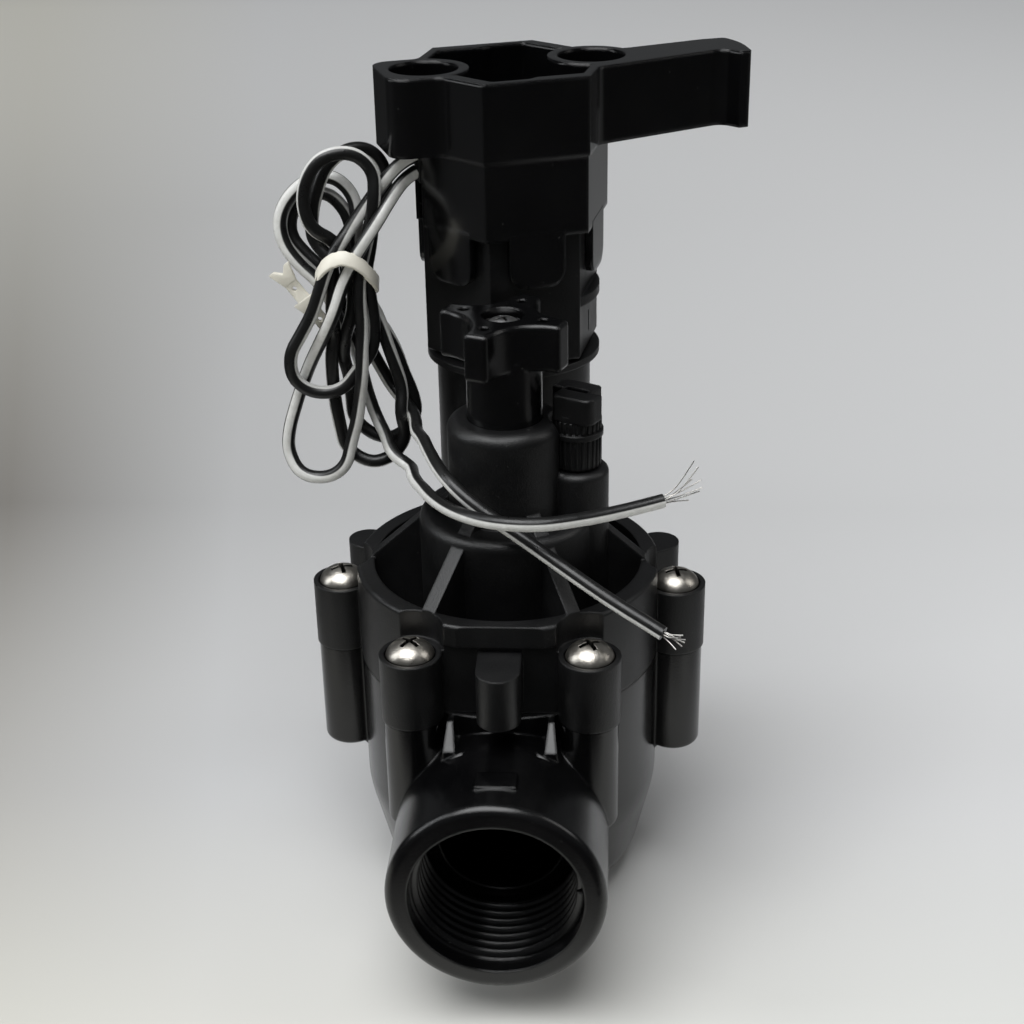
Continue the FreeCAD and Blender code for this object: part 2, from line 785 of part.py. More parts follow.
handle = new_body("flow_handle", ZERO, ZERO, ZERO, -handle_turn)
valley = handle_reach - handle_tip - handle_edge * 1.2
lobe_corners = []
for along, across in ((1, 1), (-1, 1), (-1, -1), (1, -1)):
    end_point = (handle_reach * along, handle_tip * across, handle_edge)
    side_point = (handle_tip * along, handle_reach * across, handle_edge)
    middle_point = (handle_tip * along, handle_tip * across, valley)
    if along == across:
        lobe_corners += [end_point, middle_point, side_point]
    else:
        lobe_corners += [side_point, middle_point, end_point]
grip = drawn(handle, "grip", shape_of(*lobe_corners), handle_foot, handle_top)
grip = rounded(
    handle, "grip_edges", grip, handle_edge,
    lambda e: level(e, handle_top) or level(e, handle_foot),
)
turned(
    handle, "hub",
    [
        (ZERO, hub_foot),
        (hub_radius, hub_foot, size("hub_round", 0.6)),
        (hub_radius, hub_ring_height - hub_ring_section - running),
        (hub_radius - hub_groove, hub_ring_height - hub_ring_section - running),
        (hub_radius - hub_groove, hub_ring_height + hub_ring_section + running),
        (hub_radius, hub_ring_height + hub_ring_section + running),
        (hub_radius, handle_foot + over * 2),
        (ZERO, handle_foot + over * 2),
    ],
)
drawn(handle, "dish", disc(handle_dish), dish_floor, handle_top + over, cut=True)
hole = drawn(
    handle, "lobe_hole", disc(lobe_hole, lobe_hole_offset), handle_top - lobe_hole_depth, handle_top + over,
    cut=True,
)
repeated(handle, "lobe_holes", [hole], lobe_count)
drawn(handle, "stem_bore", disc(stem_radius + running), hub_foot - over, stem_top, cut=True)
drawn(handle, "screw_hole", disc(handle_screw_radius + running), stem_top, dish_floor, cut=True)
o_ring(
    "flow_o_ring", hub_radius - (hub_groove - running) / 2, hub_ring_section, ZERO, ZERO, hub_ring_height
)

handle_screw = new_body("handle_screw", ZERO, ZERO, ZERO, -handle_turn)
turned(
    handle_screw, "screw",
    [
        (ZERO, handle_screw_foot),
        (handle_screw_radius, handle_screw_foot),
        (handle_screw_radius, dish_floor),
        (handle_screw_head, dish_floor),
        (handle_screw_head, dish_floor + handle_screw_height, size("handle_screw_round", 0.7)),
        (ZERO, dish_floor + handle_screw_height),
    ],
)

# ---------------------------------------------------------------- bleed screw
bleed_turn = size("bleed_turn", 29)           # degrees the head is turned from the X axis
bleed_collar = size("bleed_collar", 5.3)
bleed_collar_foot = size("bleed_collar_foot", 103)
bleed_collar_top = size("bleed_collar_top", 104.2)
bleed_tip = size("bleed_tip", 1.2)
bleed_long = size("bleed_long", 5.5)          # each half of the head, from the axis
bleed_short = size("bleed_short", 3.3)
bleed_deep = size("bleed_deep", 4.6)
bleed_step = size("bleed_step", 0.2)
bleed_slot_length = size("bleed_slot_length", 2.6)
bleed_slot_width = size("bleed_slot_width", 0.8)
bleed_slot_depth = size("bleed_slot_depth", 2)
bleed_groove = size("bleed_groove", 1.7)
bleed_ring_height = size("bleed_ring_height", 90.8)
bleed_ring_section = size("bleed_ring_section", 0.74)
bleed_edge = size("bleed_edge", 0.9)

bleed = new_body("bleed_screw", bleed_offset, ZERO, ZERO, -bleed_turn)
turned(
    bleed, "spindle",
    [
        (ZERO, bleed_seat + seat_gap),
        (bleed_tip, bleed_seat + seat_gap),
        (bleed_stem, bleed_seat + seat_gap + (bleed_stem - bleed_tip)),
        (bleed_stem, bleed_ring_height - bleed_ring_section - running),
        (bleed_groove, bleed_ring_height - bleed_ring_section - running),
        (bleed_groove, bleed_ring_height + bleed_ring_section + running),
        (bleed_stem, bleed_ring_height + bleed_ring_section + running),
        (bleed_stem, bleed_boss_top + seat_gap),
        (bleed_grip, bleed_boss_top + seat_gap, size("bleed_grip_round", 0.5)),
        (bleed_grip, bleed_collar_foot),
        (bleed_collar, bleed_collar_foot),
        (bleed_collar, bleed_collar_top),
        (bleed_grip, bleed_collar_top),
        (bleed_grip, bleed_head_foot + over),
        (ZERO, bleed_head_foot + over),
    ],
)
head = drawn(
    bleed, "head",
    shape_of(
        (bleed_long, -bleed_deep, size("bleed_corner", 2)),
        (bleed_long, bleed_step),
        (bleed_short, bleed_step),
        (bleed_short, bleed_deep, bleed_edge),
        (-bleed_long, bleed_deep, size("bleed_far_corner", 2)),
        (-bleed_long, -bleed_step),
        (-bleed_short, -bleed_step),
        (-bleed_short, -bleed_deep, bleed_edge),
    ),
    bleed_head_foot, bleed_head_top,
)
rounded(bleed, "head_edges", head, bleed_edge / 2, lambda e: level(e, bleed_head_top) and e.Length > 1)
drawn(
    bleed, "slot", block(-bleed_slot_length, bleed_slot_length, -bleed_slot_width, bleed_slot_width),
    bleed_head_top - bleed_slot_depth, bleed_head_top + over, cut=True,
)
o_ring(
    "bleed_o_ring", (bleed_groove + bleed_stem + running) / 2, bleed_ring_section, bleed_offset, ZERO,
    bleed_ring_height,
)

# ---------------------------------------------------------------- solenoid
base_foot = socket_floor + seat_gap
base_shoulder = tower_top + seat_gap
tube_floor = size("tube_floor", 72.5)
tube_bore = size("tube_bore", 4.9)
tube_outer = tube_bore - running
tube_wall = size("tube_wall", 0.75)
tube_top = size("tube_top", 106.5)
orifice = size("orifice", 0.8)
base_ring_height = size("base_ring_height", 72.7)
base_ring_section = size("base_ring_section", 0.83)
base_groove = size("base_groove", 6.25)
cavity_floor = size("cavity_floor", 79.5)
column_cavity = size("column_cavity", 14.8)
spigot_radius = column_cavity - running
spigot_foot = size("spigot_foot", 108.4)
housing_room = size("housing_room", 13)
housing_room_foot = size("housing_room_foot", 114.8)
resin_top = size("resin_top", 153.6)
lead_slot = size("lead_slot", 2.2)
lead_slot_foot = size("lead_slot_foot", 147.5)
lead_slot_top = size("lead_slot_top", 154.5)
grommet_inner = size("grommet_inner", 13.3)
grommet_outer = size("grommet_outer", 19.8)
lug_radius = size("lug_radius", 18.5)
lug_foot = size("lug_foot", 122)
lug_height = size("lug_height", 2)


def on_column(name, turn=key_tilt):
    """A body on the solenoid's axis, its X axis along the key's arm."""
    return new_body(name, ZERO, column_offset, ZERO, turn)


base = on_column("solenoid_base")
turned(
    base, "base",
    [
        (ZERO, base_foot),
        (nipple_radius, base_foot, size("nipple_round", 0.6)),
        (nipple_radius, base_ring_height - base_ring_section - running),
        (base_groove, base_ring_height - base_ring_section - running),
        (base_groove, base_ring_height + base_ring_section + running),
        (nipple_radius, base_ring_height + base_ring_section + running),
        (nipple_radius, base_shoulder),
        (column_radius, base_shoulder, size("column_round", 0.8)),
        (column_radius, disc_foot),
        (disc_radius, disc_foot),
        (disc_radius, disc_foot + disc_height),
        (column_cavity, disc_foot + disc_height),
        (column_cavity, cavity_floor),
        (tube_bore, cavity_floor),
        (tube_bore, tube_floor),
        (ZERO, tube_floor),
    ],
)
drawn(base, "orifice", disc(orifice), base_foot - over, tube_floor + over, cut=True)
o_ring(
    "solenoid_o_ring", (base_groove + nipple_radius + running) / 2, base_ring_section, ZERO, column_offset,
    base_ring_height,
)

tube = on_column("core_tube")
drawn(tube, "tube", ring(tube_outer, tube_outer - tube_wall), tube_floor + running, tube_top)

plunger_foot = size("plunger_foot", 73.7)
plunger_top = size("plunger_top", 93)
plunger_bore = size("plunger_bore", 2.9)
plunger_bore_floor = size("plunger_bore_floor", 88)
seal_pad = size("seal_pad", 2.5)
seal_pad_height = size("seal_pad_height", 2.1)
plunger_radius = tube_outer - tube_wall - running
pad_foot = tube_floor + seat_gap
plunger = on_column("plunger")
turned(
    plunger, "plunger",
    [
        (ZERO, pad_foot + seal_pad_height + running),
        (seal_pad + running, pad_foot + seal_pad_height + running),
        (seal_pad + running, plunger_foot),
        (plunger_radius, plunger_foot, size("plunger_round", 0.4)),
        (plunger_radius, plunger_top),
        (plunger_bore, plunger_top),
        (plunger_bore, plunger_bore_floor),
        (ZERO, plunger_bore_floor),
    ],
)
seal = on_column("plunger_seal")
drawn(seal, "pad", disc(seal_pad), pad_foot, pad_foot + seal_pad_height)

core_foot = plunger_top + plunger_travel + seat_gap * 2
core_head = size("core_head", 6.5)
core_head_height = size("core_head_height", 1.5)
core = on_column("fixed_core")
turned(
    core, "core",
    [
        (ZERO, core_foot),
        (plunger_radius, core_foot),
        (plunger_radius, tube_top + running),
        (core_head, tube_top + running),
        (core_head, tube_top + running + core_head_height),
        (ZERO, tube_top + running + core_head_height),
    ],
)
coil_spring(
    "plunger_spring", size("plunger_spring_radius", 2.2), size("plunger_spring_wire", 0.35),
    plunger_bore_floor + running, core_foot - running, 5, column_offset,
)

bobbin_hub = size("bobbin_hub", 6.2)
bobbin_flange = size("bobbin_flange", 13)
bobbin_wall = size("bobbin_wall", 1.5)
bobbin_foot = size("bobbin_foot", 80.5)
bobbin_top = size("bobbin_top", 104)
bobbin = on_column("coil_bobbin")
turned(
    bobbin, "bobbin",
    [
        (tube_bore + running, bobbin_foot),
        (bobbin_flange, bobbin_foot),
        (bobbin_flange, bobbin_foot + bobbin_wall),
        (bobbin_hub, bobbin_foot + bobbin_wall),
        (bobbin_hub, bobbin_top - bobbin_wall),
        (bobbin_flange, bobbin_top - bobbin_wall),
        (bobbin_flange, bobbin_top),
        (tube_bore + running, bobbin_top),
    ],
)
winding_outer = size("winding_outer", 12.6)
winding = on_column("coil_winding")
drawn(
    winding, "copper", ring(winding_outer, bobbin_hub + running),
    bobbin_foot + bobbin_wall + running, bobbin_top - bobbin_wall - running,
)
yoke_wall = size("yoke_wall", 1.2)
yoke_top = size("yoke_top", 104.5)
washer_height = size("washer_height", 1.8)
yoke = on_column("yoke_sleeve")
drawn(yoke, "sleeve", ring(spigot_radius, spigot_radius - yoke_wall), cavity_floor + seat_gap, yoke_top)
washer = on_column("yoke_washer")
drawn(washer, "washer", ring(spigot_radius, tube_bore), yoke_top + running, yoke_top + washer_height)

housing = on_column("solenoid_housing")
drawn(housing, "spigot", disc(spigot_radius), spigot_foot, housing_foot)
housing_hex = drawn(housing, "hex", hexagon(housing_corner), housing_foot, housing_top)
rounded(
    housing, "hex_foot", housing_hex, size("housing_edge", 0.5),
    lambda e: level(e, housing_foot) and e.Length > 15,
)
mark_low = size("mark_low", 114)              # an ejector mark on the right flat
mark_high = size("mark_high", 118.5)
mark_half = size("mark_half", 0.45)
mark_depth = size("mark_depth", 0.5)
flat = housing_corner * HEX
drawn(
    housing, "mark",
    shape_of(
        polar(flat - mark_depth, -30, -mark_half), polar(flat + over, -30, -mark_half),
        polar(flat + over, -30, mark_half), polar(flat - mark_depth, -30, mark_half),
    ),
    mark_low, mark_high, cut=True,
)
lug_swing = math.acos(float(flat) / float(lug_radius))
lug_vertex = lug_radius / math.cos(lug_swing)
lug_side = lug_radius * math.tan(lug_swing) + seat_gap


def lug_point(side, depth):
    """A corner of the lug: across its face by side and back from the outermost point by depth."""
    return polar(lug_vertex - depth, -30, side)


lug_half = lug_side * math.cos(lug_swing)
lug_back = lug_side * math.sin(lug_swing)
drawn(
    housing, "lug",
    shape_of(
        lug_point(lug_half, lug_back),
        lug_point(-lug_half, lug_back),
        lug_point(ZERO, ZERO) + (lug_radius,),
    ),
    lug_foot, lug_foot + lug_height,
)
drawn(housing, "room", disc(housing_room), housing_room_foot, housing_top + over, cut=True)
drawn(
    housing, "lead_slot",
    block(-housing_corner, -housing_room / 2, -(lead_slot + running), lead_slot + running),
    lead_slot_foot - running, housing_top + over, cut=True,
)
resin = on_column("resin_fill")
drawn(resin, "fill", disc(housing_room - running), housing_room_foot + running, resin_top)
grommet = on_column("lead_grommet")
drawn(
    grommet, "plug", block(-grommet_outer, -grommet_inner, -lead_slot, lead_slot),
    lead_slot_foot, lead_slot_top,
)

# ---------------------------------------------------------------- key on the solenoid
skirt_corner = size("skirt_corner", 21.3)
socket_corner = size("socket_corner", 19.35)
tongue_width = size("tongue_width", 5.9)      # half a tongue's width
tongue_outer = size("tongue_outer", 18.5)
tongue_round = size("tongue_round", 3.5)
socket_top = size("socket_top", 155.5)
key_floor = size("key_floor", 157.5)
wall_wide = size("wall_wide", 17.1)           # two distances of the hollow's sides from the axis
wall_close = size("wall_close", 15.95)
wall_run = size("wall_run", 1)
ring_offset = size("ring_offset", 17.6)
ring_bore = size("ring_bore", 7)
ring_boss = size("ring_boss", 9)
ear_reach = size("ear_reach", 26.7)
ear_width = size("ear_width", 9.1)
ear_round = size("ear_round", 4)
key_slot = size("key_slot", 2.9)
key_slot_top = size("key_slot_top", 155.3)

key = on_column("solenoid_key")
tongue = drawn(
    key, "tongue",
    shape_of(
        (-tongue_width, tongue_foot, tongue_round),
        (tongue_width, tongue_foot, tongue_round),
        (tongue_width, skirt_foot + over),
        (-tongue_width, skirt_foot + over),
    ),
    socket_corner * HEX - seat_gap, tongue_outer, "XZ_Plane",
)
repeated(key, "tongues", [tongue], 6)
drawn(key, "skirt", hexagon(skirt_corner), skirt_foot, band_foot)
drawn(key, "band", hexagon(key_corner), band_foot, key_top)
drawn(
    key, "ear",
    shape_of(
        (size("ear_root_u", -12.8), size("ear_root_w", -15.4)),
        (size("ear_corner_u", -16.5), -ear_width, size("ear_fillet", 2.5)),
        (-ear_reach, -ear_width, ear_round),
        (-ear_reach, ear_width, ear_round),
        (size("ear_back_u", -16.5), ear_width, size("ear_back_fillet", 2.5)),
        (size("ear_end_u", -12.8), size("ear_end_w", 15.4)),
    ),
    band_foot, key_top,
)
drawn(
    key, "arm",
    shape_of(
        (size("arm_root_u", 12.7), size("arm_root_w", -15.6)),
        (size("arm_corner_u", 15.2), size("arm_corner_w", -11.4), size("arm_fillet", 3)),
        (size("arm_throat_u", 44.7), size("arm_throat_w", -4.3), size("arm_throat", 3)),
        (size("arm_lip_u", 47.1), size("arm_lip_w", -8.6), size("arm_lip_round", 0.5)),
        (size("arm_tip_u", 49.3), size("arm_tip_w", -8.3), size("arm_tip_round", 0.6)),
        (size("arm_end_u", 50.8), size("arm_end_w", 0.6), size("arm_end_round", 20)),
        (size("arm_heel_u", 49.4), size("arm_heel_w", 6.2), size("arm_heel_round", 1.2)),
        (size("arm_back_u", 44.2), size("arm_back_w", 6.3)),
        (size("arm_neck_u", 27.6), size("arm_neck_w", 3.9)),
        (size("arm_start_u", 14.1), size("arm_start_w", 3.2)),
    ),
    band_foot, key_top,
)
drawn(key, "socket", hexagon(socket_corner), tongue_foot - over, socket_top, cut=True)


hollow_round = size("hollow_round", 1)
hollow_corners = []
for side in range(6):
    facing = 30 + 60 * side
    wide_part = (wall_wide - wall_close / 2) / (HEX * HEX)
    close_part = (wall_close - wall_wide / 2) / (HEX * HEX)
    hollow_corners.append(polar(wall_wide, facing, -wall_run))
    hollow_corners.append(polar(wall_close, facing, wall_run))
    on_close = polar(close_part, facing)
    on_wide = polar(wide_part, facing + 60)
    hollow_corners.append((on_close[0] + on_wide[0], on_close[1] + on_wide[1], hollow_round))
drawn(key, "hollow", shape_of(*hollow_corners), key_floor, key_top + over, cut=True)
for name, along in (("ear_ring", -ring_offset), ("arm_ring", ring_offset)):
    drawn(key, name, disc(ring_boss, along), band_foot + over, key_top)
    drawn(key, name + "_bore", disc(ring_bore, along), key_floor, key_top + over, cut=True)
drawn(
    key, "lead_slot", block(-(key_corner + over), -grommet_inner, -key_slot, key_slot), tongue_foot - over,
    key_slot_top, cut=True,
)

# ---------------------------------------------------------------- leads, tied in a hank
lead_radius = size("lead_radius", 1.4)
lead_exit_high = size("lead_exit_high", 152.7)
lead_exit_low = size("lead_exit_low", 149.5)
exit_point = FreeCAD.Rotation(Vector(0, 0, 1), float(key_tilt)).multVec(Vector(-float(grommet_outer), 0, 0))
exit_x = exit_point.x
exit_y = exit_point.y + float(column_offset)
LEADS = {
    "lead_exit_a": [
        (exit_x, exit_y, float(lead_exit_high)),
        (-24.1, 23.6, 151.2),
        (-29.0, 22.6, 142.4),
        (-34.6, 20.0, 130.6),
    ],
    "lead_exit_b": [
        (exit_x, exit_y, float(lead_exit_low)),
        (-22.4, 24.2, 147.6),
        (-26.4, 23.0, 139.3),
        (-31.6, 19.4, 130.4),
    ],
    "lead_tail_a": [
        (-29.5, 25.0, 94.0),
        (-23.4, 17.5, 88.0),
        (-15.0, -6.3, 91.3),
        (-3.7, -21.8, 93.9),
        (9.8, -24.2, 94.3),
        (22.0, -18.3, 93.9),
        (31.5, -15.0, 95.2),
    ],
    "lead_tail_b": [
        (-27.5, 28.0, 103.0),
        (-20.5, 18.0, 96.3),
        (-14.0, -6.0, 99.0),
        (-5.1, -15.1, 93.6),
        (3.0, -17.8, 89.1),
        (12.0, -23.0, 84.6),
        (22.0, -28.7, 79.9),
        (31.4, -33.6, 76.2),
    ],
}


def lead(name, points):
    """A round cable of straight runs and tangent arcs. Prints its radii and its volume check."""
    points = [Vector(*p) for p in points]
    edges = []
    radii = []
    start = points[0]
    for before, here, after in zip(points, points[1:], points[2:]):
        back = (before - here).normalize()
        ahead = (after - here).normalize()
        half = back.getAngle(ahead) / 2
        run = 0.45 * min((before - here).Length, (after - here).Length)
        radius = run * math.tan(half)
        centre = here + (back + ahead).normalize() * (radius / math.sin(half))
        middle = centre + (here - centre).normalize() * radius
        edges.append(Part.makeLine(start, here + back * run))
        edges.append(Part.Arc(here + back * run, middle, here + ahead * run).toShape())
        start = here + ahead * run
        radii.append(round(radius, 1))
    edges.append(Part.makeLine(start, points[-1]))
    path = Part.Wire(edges)
    across = Part.Wire([Part.makeCircle(float(lead_radius), points[0], points[1] - points[0])])
    solid = path.makePipeShell([across], True, False)
    cable = doc.addObject("Part::Feature", name)
    cable.Label = name
    cable.Shape = solid
    cable.Placement = FreeCAD.Placement()
    expected = math.pi * float(lead_radius) ** 2 * path.Length
    print(name, "radii", radii, "length %.1f" % path.Length, "volume ratio %.4f" % (solid.Volume / expected))


for name, points in LEADS.items():
    lead(name, points)


# The hank's outline from the front: x, z and the rounding of each corner.
HANK_OUTLINE = [
    (-28.2, 133.5, 8),
    (-24.6, 147.0, 6),
    (-28.6, 156.2, 4.5),
    (-36.0, 156.2, 6),
    (-43.5, 148.5, 8),
    (-47.6, 138.5, 5),
    (-45.6, 131.6, 4.5),
    (-38.4, 130.6, 3),
    (-38.4, 125.2, 6),
    (-46.6, 112.5, 8),
    (-50.0, 97.0, 8),
    (-49.6, 83.6, 6.5),
    (-40.0, 81.4, 6),
    (-32.0, 83.8, 8),
    (-23.2, 85.0, 5.5),
    (-20.3, 97.5, 8),
    (-23.6, 111.0, 8),
    (-28.2, 125.5, 8),
]
lead_reach = size("lead_reach", 60)           # past the leads, sideways
hank_front = size("hank_front", 13.8)
hank_back = size("hank_back", 30.2)
waist_front = size("waist_front", 16)
waist_back = size("waist_back", 27.2)
waist_low = size("waist_low", 123.5)
waist_high = size("waist_high", 133.5)
waist_slope = size("waist_slope", 9)
hank = new_body("lead_hank")
slab = drawn(hank, "slab", shape_of(*HANK_OUTLINE), hank_front, hank_back, "XZ_Plane")
rounded(
    hank, "edges", slab, size("hank_round", 4),
    lambda edge: edge.BoundBox.YLength < 1e-4,
)
for name, face, waist, way in (
    ("front", hank_front, waist_front, -over), ("back", hank_back, waist_back, over),
):
    drawn(
        hank, "waist_" + name,
        shape_of(
            (face + way, waist_low - waist_slope), (waist, waist_low),
            (waist, waist_high), (face + way, waist_high + waist_slope),
        ),
        -lead_reach, ZERO, "YZ_Plane", cut=True,
    )

tie_width = size("tie_width", 6.35)           # half the tie's outside
tie_depth = size("tie_depth", 8.2)
tie_half = size("tie_half", 1.4)
tie_wall = size("tie_wall", 1)
tie_corner = size("tie_corner", 4.5)
strip_length = size("strip_length", 12)
strip_half = size("strip_half", 0.55)
tie_ring = new_body("tie_ring", size("tie_x", -33.1), size("tie_y", 21.4), size("tie_z", 128.7))
tie_ring.Placement = FreeCAD.Placement(tie_ring.Placement.Base, FreeCAD.Rotation(Vector(1, 0, 0), -35))


def rounded_block(half_x, half_y, corner):
    """A drawing of a rectangle about the origin with rounded corners."""
    return shape_of(
        (half_x, half_y, corner), (-half_x, half_y, corner),
        (-half_x, -half_y, corner), (half_x, -half_y, corner),
    )


drawn(tie_ring, "ring", rounded_block(tie_width, tie_depth, tie_corner), -tie_half, tie_half)
drawn(
    tie_ring, "hole",
    rounded_block(tie_width - tie_wall, tie_depth - tie_wall, tie_corner - tie_wall),
    -(tie_half + over), tie_half + over, cut=True,
)
tie_strip = new_body("tie_strip", size("strip_x", -39.5), size("strip_y", 20.9), size("strip_z", 129.6))
tie_strip.Placement = FreeCAD.Placement(tie_strip.Placement.Base, FreeCAD.Rotation(Vector(0, 1, 0), 144))
drawn(tie_strip, "strip", block(ZERO, strip_length, -tie_half, tie_half), -strip_half, strip_half, "XZ_Plane")
tie = doc.addObject("Part::MultiFuse", "lead_tie")
tie.Label = "lead_tie"
tie.Shapes = [tie_ring, tie_strip]

# ---------------------------------------------------------------- checks and export
HELPERS = ["tie_ring", "tie_strip"]
SOLIDS = {"bonnet_screws": screw_count}
doc.recompute()
faults = [o.Name for o in doc.Objects if "Invalid" in o.State or "Error" in o.State]
if faults:
    raise ValueError("not computed: " + ", ".join(faults))
os.makedirs("parts", exist_ok=True)
KINDS = ("PartDesign::Body", "Part::Torus", "Part::MultiFuse", "Part::Feature")
nodes = [o for o in doc.Objects if o.TypeId in KINDS and o.Label not in HELPERS]
for node in nodes:
    shape = node.Shape
    if shape.isNull() or not shape.isValid() or len(shape.Solids) != SOLIDS.get(node.Label, 1):
        raise ValueError("unsound solid: " + node.Label)
    shape.exportStep("parts/" + node.Label + ".step")
print(len(nodes), "nodes written")
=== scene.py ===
# %% [markdown]
# # Dressing a solenoid valve
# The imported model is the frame: every part already stands in its place, in metres.
# This lesson adds what a moulder and an electrician would see: grained black plastic,
# cross-recess screws, cut threads, two striped leads tied in a hank, and a soft studio.

import json
import math

import bpy
from mathutils import Matrix, Vector


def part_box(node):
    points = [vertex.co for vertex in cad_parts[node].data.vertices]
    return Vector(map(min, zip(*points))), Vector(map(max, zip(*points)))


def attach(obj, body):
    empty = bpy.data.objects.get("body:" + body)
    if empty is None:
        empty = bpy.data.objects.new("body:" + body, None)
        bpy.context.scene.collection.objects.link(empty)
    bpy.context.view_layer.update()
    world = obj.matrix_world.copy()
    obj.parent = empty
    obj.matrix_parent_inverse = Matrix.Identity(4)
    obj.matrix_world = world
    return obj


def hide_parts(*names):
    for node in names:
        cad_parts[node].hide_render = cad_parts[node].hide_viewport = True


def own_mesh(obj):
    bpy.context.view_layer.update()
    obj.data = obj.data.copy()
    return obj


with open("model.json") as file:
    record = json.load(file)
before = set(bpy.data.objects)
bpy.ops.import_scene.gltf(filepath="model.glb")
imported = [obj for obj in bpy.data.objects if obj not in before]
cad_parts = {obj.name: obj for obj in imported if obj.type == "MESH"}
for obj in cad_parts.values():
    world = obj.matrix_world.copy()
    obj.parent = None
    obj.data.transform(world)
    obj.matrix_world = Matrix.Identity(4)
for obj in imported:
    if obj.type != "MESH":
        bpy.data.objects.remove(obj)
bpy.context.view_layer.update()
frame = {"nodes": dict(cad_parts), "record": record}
nodes = frame["nodes"]

# %% [markdown]
# ## Camera
# A fairly long lens looks down on the valve from the front. The camera could be aimed with a
# constraint, but three angles are shorter, and the roll of one degree needs an angle of its own.

# %% camera
STAND = (0.02113, -0.31973, 0.24283)
DOWN = math.radians(26.22)
ASIDE = math.radians(-3.6)
ROLL = math.radians(-1.09)
lens = bpy.data.cameras.new("camera")
lens.lens = 61.05
lens.sensor_width = 36
lens.clip_start = 0.01
lens.clip_end = 20
camera = bpy.data.objects.new("camera", lens)
bpy.context.collection.objects.link(camera)
camera.location = STAND
camera.rotation_mode = "XYZ"
lean = Matrix.Rotation(math.pi / 2 - DOWN, 4, "X")
look = Matrix.Rotation(-ASIDE, 4, "Z") @ lean @ Matrix.Rotation(ROLL, 4, "Z")
camera.rotation_euler = look.to_euler()
bpy.context.scene.camera = camera
bpy.context.scene.view_settings.view_transform = "Standard"
print("camera:", round(lens.lens, 2), "mm lens,", round(Vector(STAND).length, 3), "m from the origin")


# %% [markdown]
# ## Materials
# Each material is a small tree: grain from noise drives roughness and bump, and a bevel in the
# shader catches light along every moulded edge. The noise reads object coordinates, so it needs
# no unwrapping and stays on a piece that moves.

# %% a new material
def tree(name):
    """A new material with its node tree and Principled shader."""
    material = bpy.data.materials.new(name)
    material.use_nodes = True
    net = material.node_tree
    return material, net, net.nodes["Principled BSDF"]


# %% grain and colour
def noise(net, where, scale, detail=4.0, rough=0.6):
    """Noise in the piece's own coordinates."""
    made = net.nodes.new("ShaderNodeTexNoise")
    made.inputs["Scale"].default_value = scale
    made.inputs["Detail"].default_value = detail
    made.inputs["Roughness"].default_value = rough
    net.links.new(where, made.inputs["Vector"])
    return made.outputs["Fac"]


def spread(net, value, low, high, out_low, out_high):
    """Map a range of values onto another."""
    made = net.nodes.new("ShaderNodeMapRange")
    made.inputs["From Min"].default_value = low
    made.inputs["From Max"].default_value = high
    made.inputs["To Min"].default_value = out_low
    made.inputs["To Max"].default_value = out_high
    net.links.new(value, made.inputs["Value"])
    return made.outputs["Result"]


def ramp(net, value, *stops):
    """A colour ramp of (position, colour) stops."""
    made = net.nodes.new("ShaderNodeValToRGB")
    band = made.color_ramp
    while len(band.elements) < len(stops):
        band.elements.new(0.5)
    for element, (position, colour) in zip(band.elements, stops):
        element.position = position
        element.color = (*colour, 1)
    net.links.new(value, made.inputs["Fac"])
    return made.outputs["Color"]


def blend(net, share, first, second, kind="MIX"):
    """Two colours mixed by a share; a plain colour is set on its socket."""
    made = net.nodes.new("ShaderNodeMix")
    made.data_type = "RGBA"
    made.blend_type = kind
    net.links.new(share, made.inputs["Factor"])
    for socket, colour in ((made.inputs["A"], first), (made.inputs["B"], second)):
        if isinstance(colour, tuple):
            socket.default_value = (*colour, 1)
        else:
            net.links.new(colour, socket)
    return made.outputs["Result"]


# %% relief
def relief(net, shader, height, distance, edge=0.0):
    """Bump from a height, over normals rounded at the edges."""
    bump = net.nodes.new("ShaderNodeBump")
    bump.inputs["Distance"].default_value = distance
    net.links.new(height, bump.inputs["Height"])
    if edge:
        soft = net.nodes.new("ShaderNodeBevel")
        soft.samples = 4
        soft.inputs["Radius"].default_value = edge
        net.links.new(soft.outputs["Normal"], bump.inputs["Normal"])
    net.links.new(bump.outputs["Normal"], shader.inputs["Normal"])


# %% [markdown]
# ## Plastic
# Moulded plastic is nearly even in colour, but its gloss is mottled where it was handled and
# dust settles on it. One coarse noise makes the mottling, a fine one the grain, and the peaks
# of a third one the dust, so all the black pieces share one function with different numbers.

# %% plastic
DUST = (0.12, 0.12, 0.115)


def plastic(name, dark, light, smooth, dull, grain, edge=0.0005, coat=0.0):
    """Moulded plastic: mottled gloss, fine grain and a few pale specks of dust."""
    material, net, shader = tree(name)
    where = net.nodes.new("ShaderNodeTexCoord").outputs["Object"]
    cloud = noise(net, where, 60, 5, 0.65)
    fine = noise(net, where, 2600, 3)
    dust = noise(net, where, 900, 2, 0.5)
    tint = ramp(net, cloud, (0.3, dark), (0.7, light))
    speck = spread(net, dust, 0.74, 0.8, 0, 0.25)
    net.links.new(blend(net, speck, tint, DUST), shader.inputs["Base Color"])
    net.links.new(spread(net, cloud, 0.3, 0.7, smooth, dull), shader.inputs["Roughness"])
    shader.inputs["Coat Weight"].default_value = coat
    shader.inputs["Coat Roughness"].default_value = 0.08
    relief(net, shader, fine, grain, edge)
    return material


# %% [markdown]
# ## Metal
# The screws are plated steel. Bare metal shows mostly what it mirrors, so the crosses in their
# heads would hardly show. An Ambient Occlusion node finds such crevices and darkens their
# colour there as painted shade, which saves painting a mask.

# %% metal
# The colour below is painted shade, which the crevices found by ambient occlusion darken to.
CREVICE_SHADE = (0.02, 0.018, 0.016)
CREVICE = 0.0016


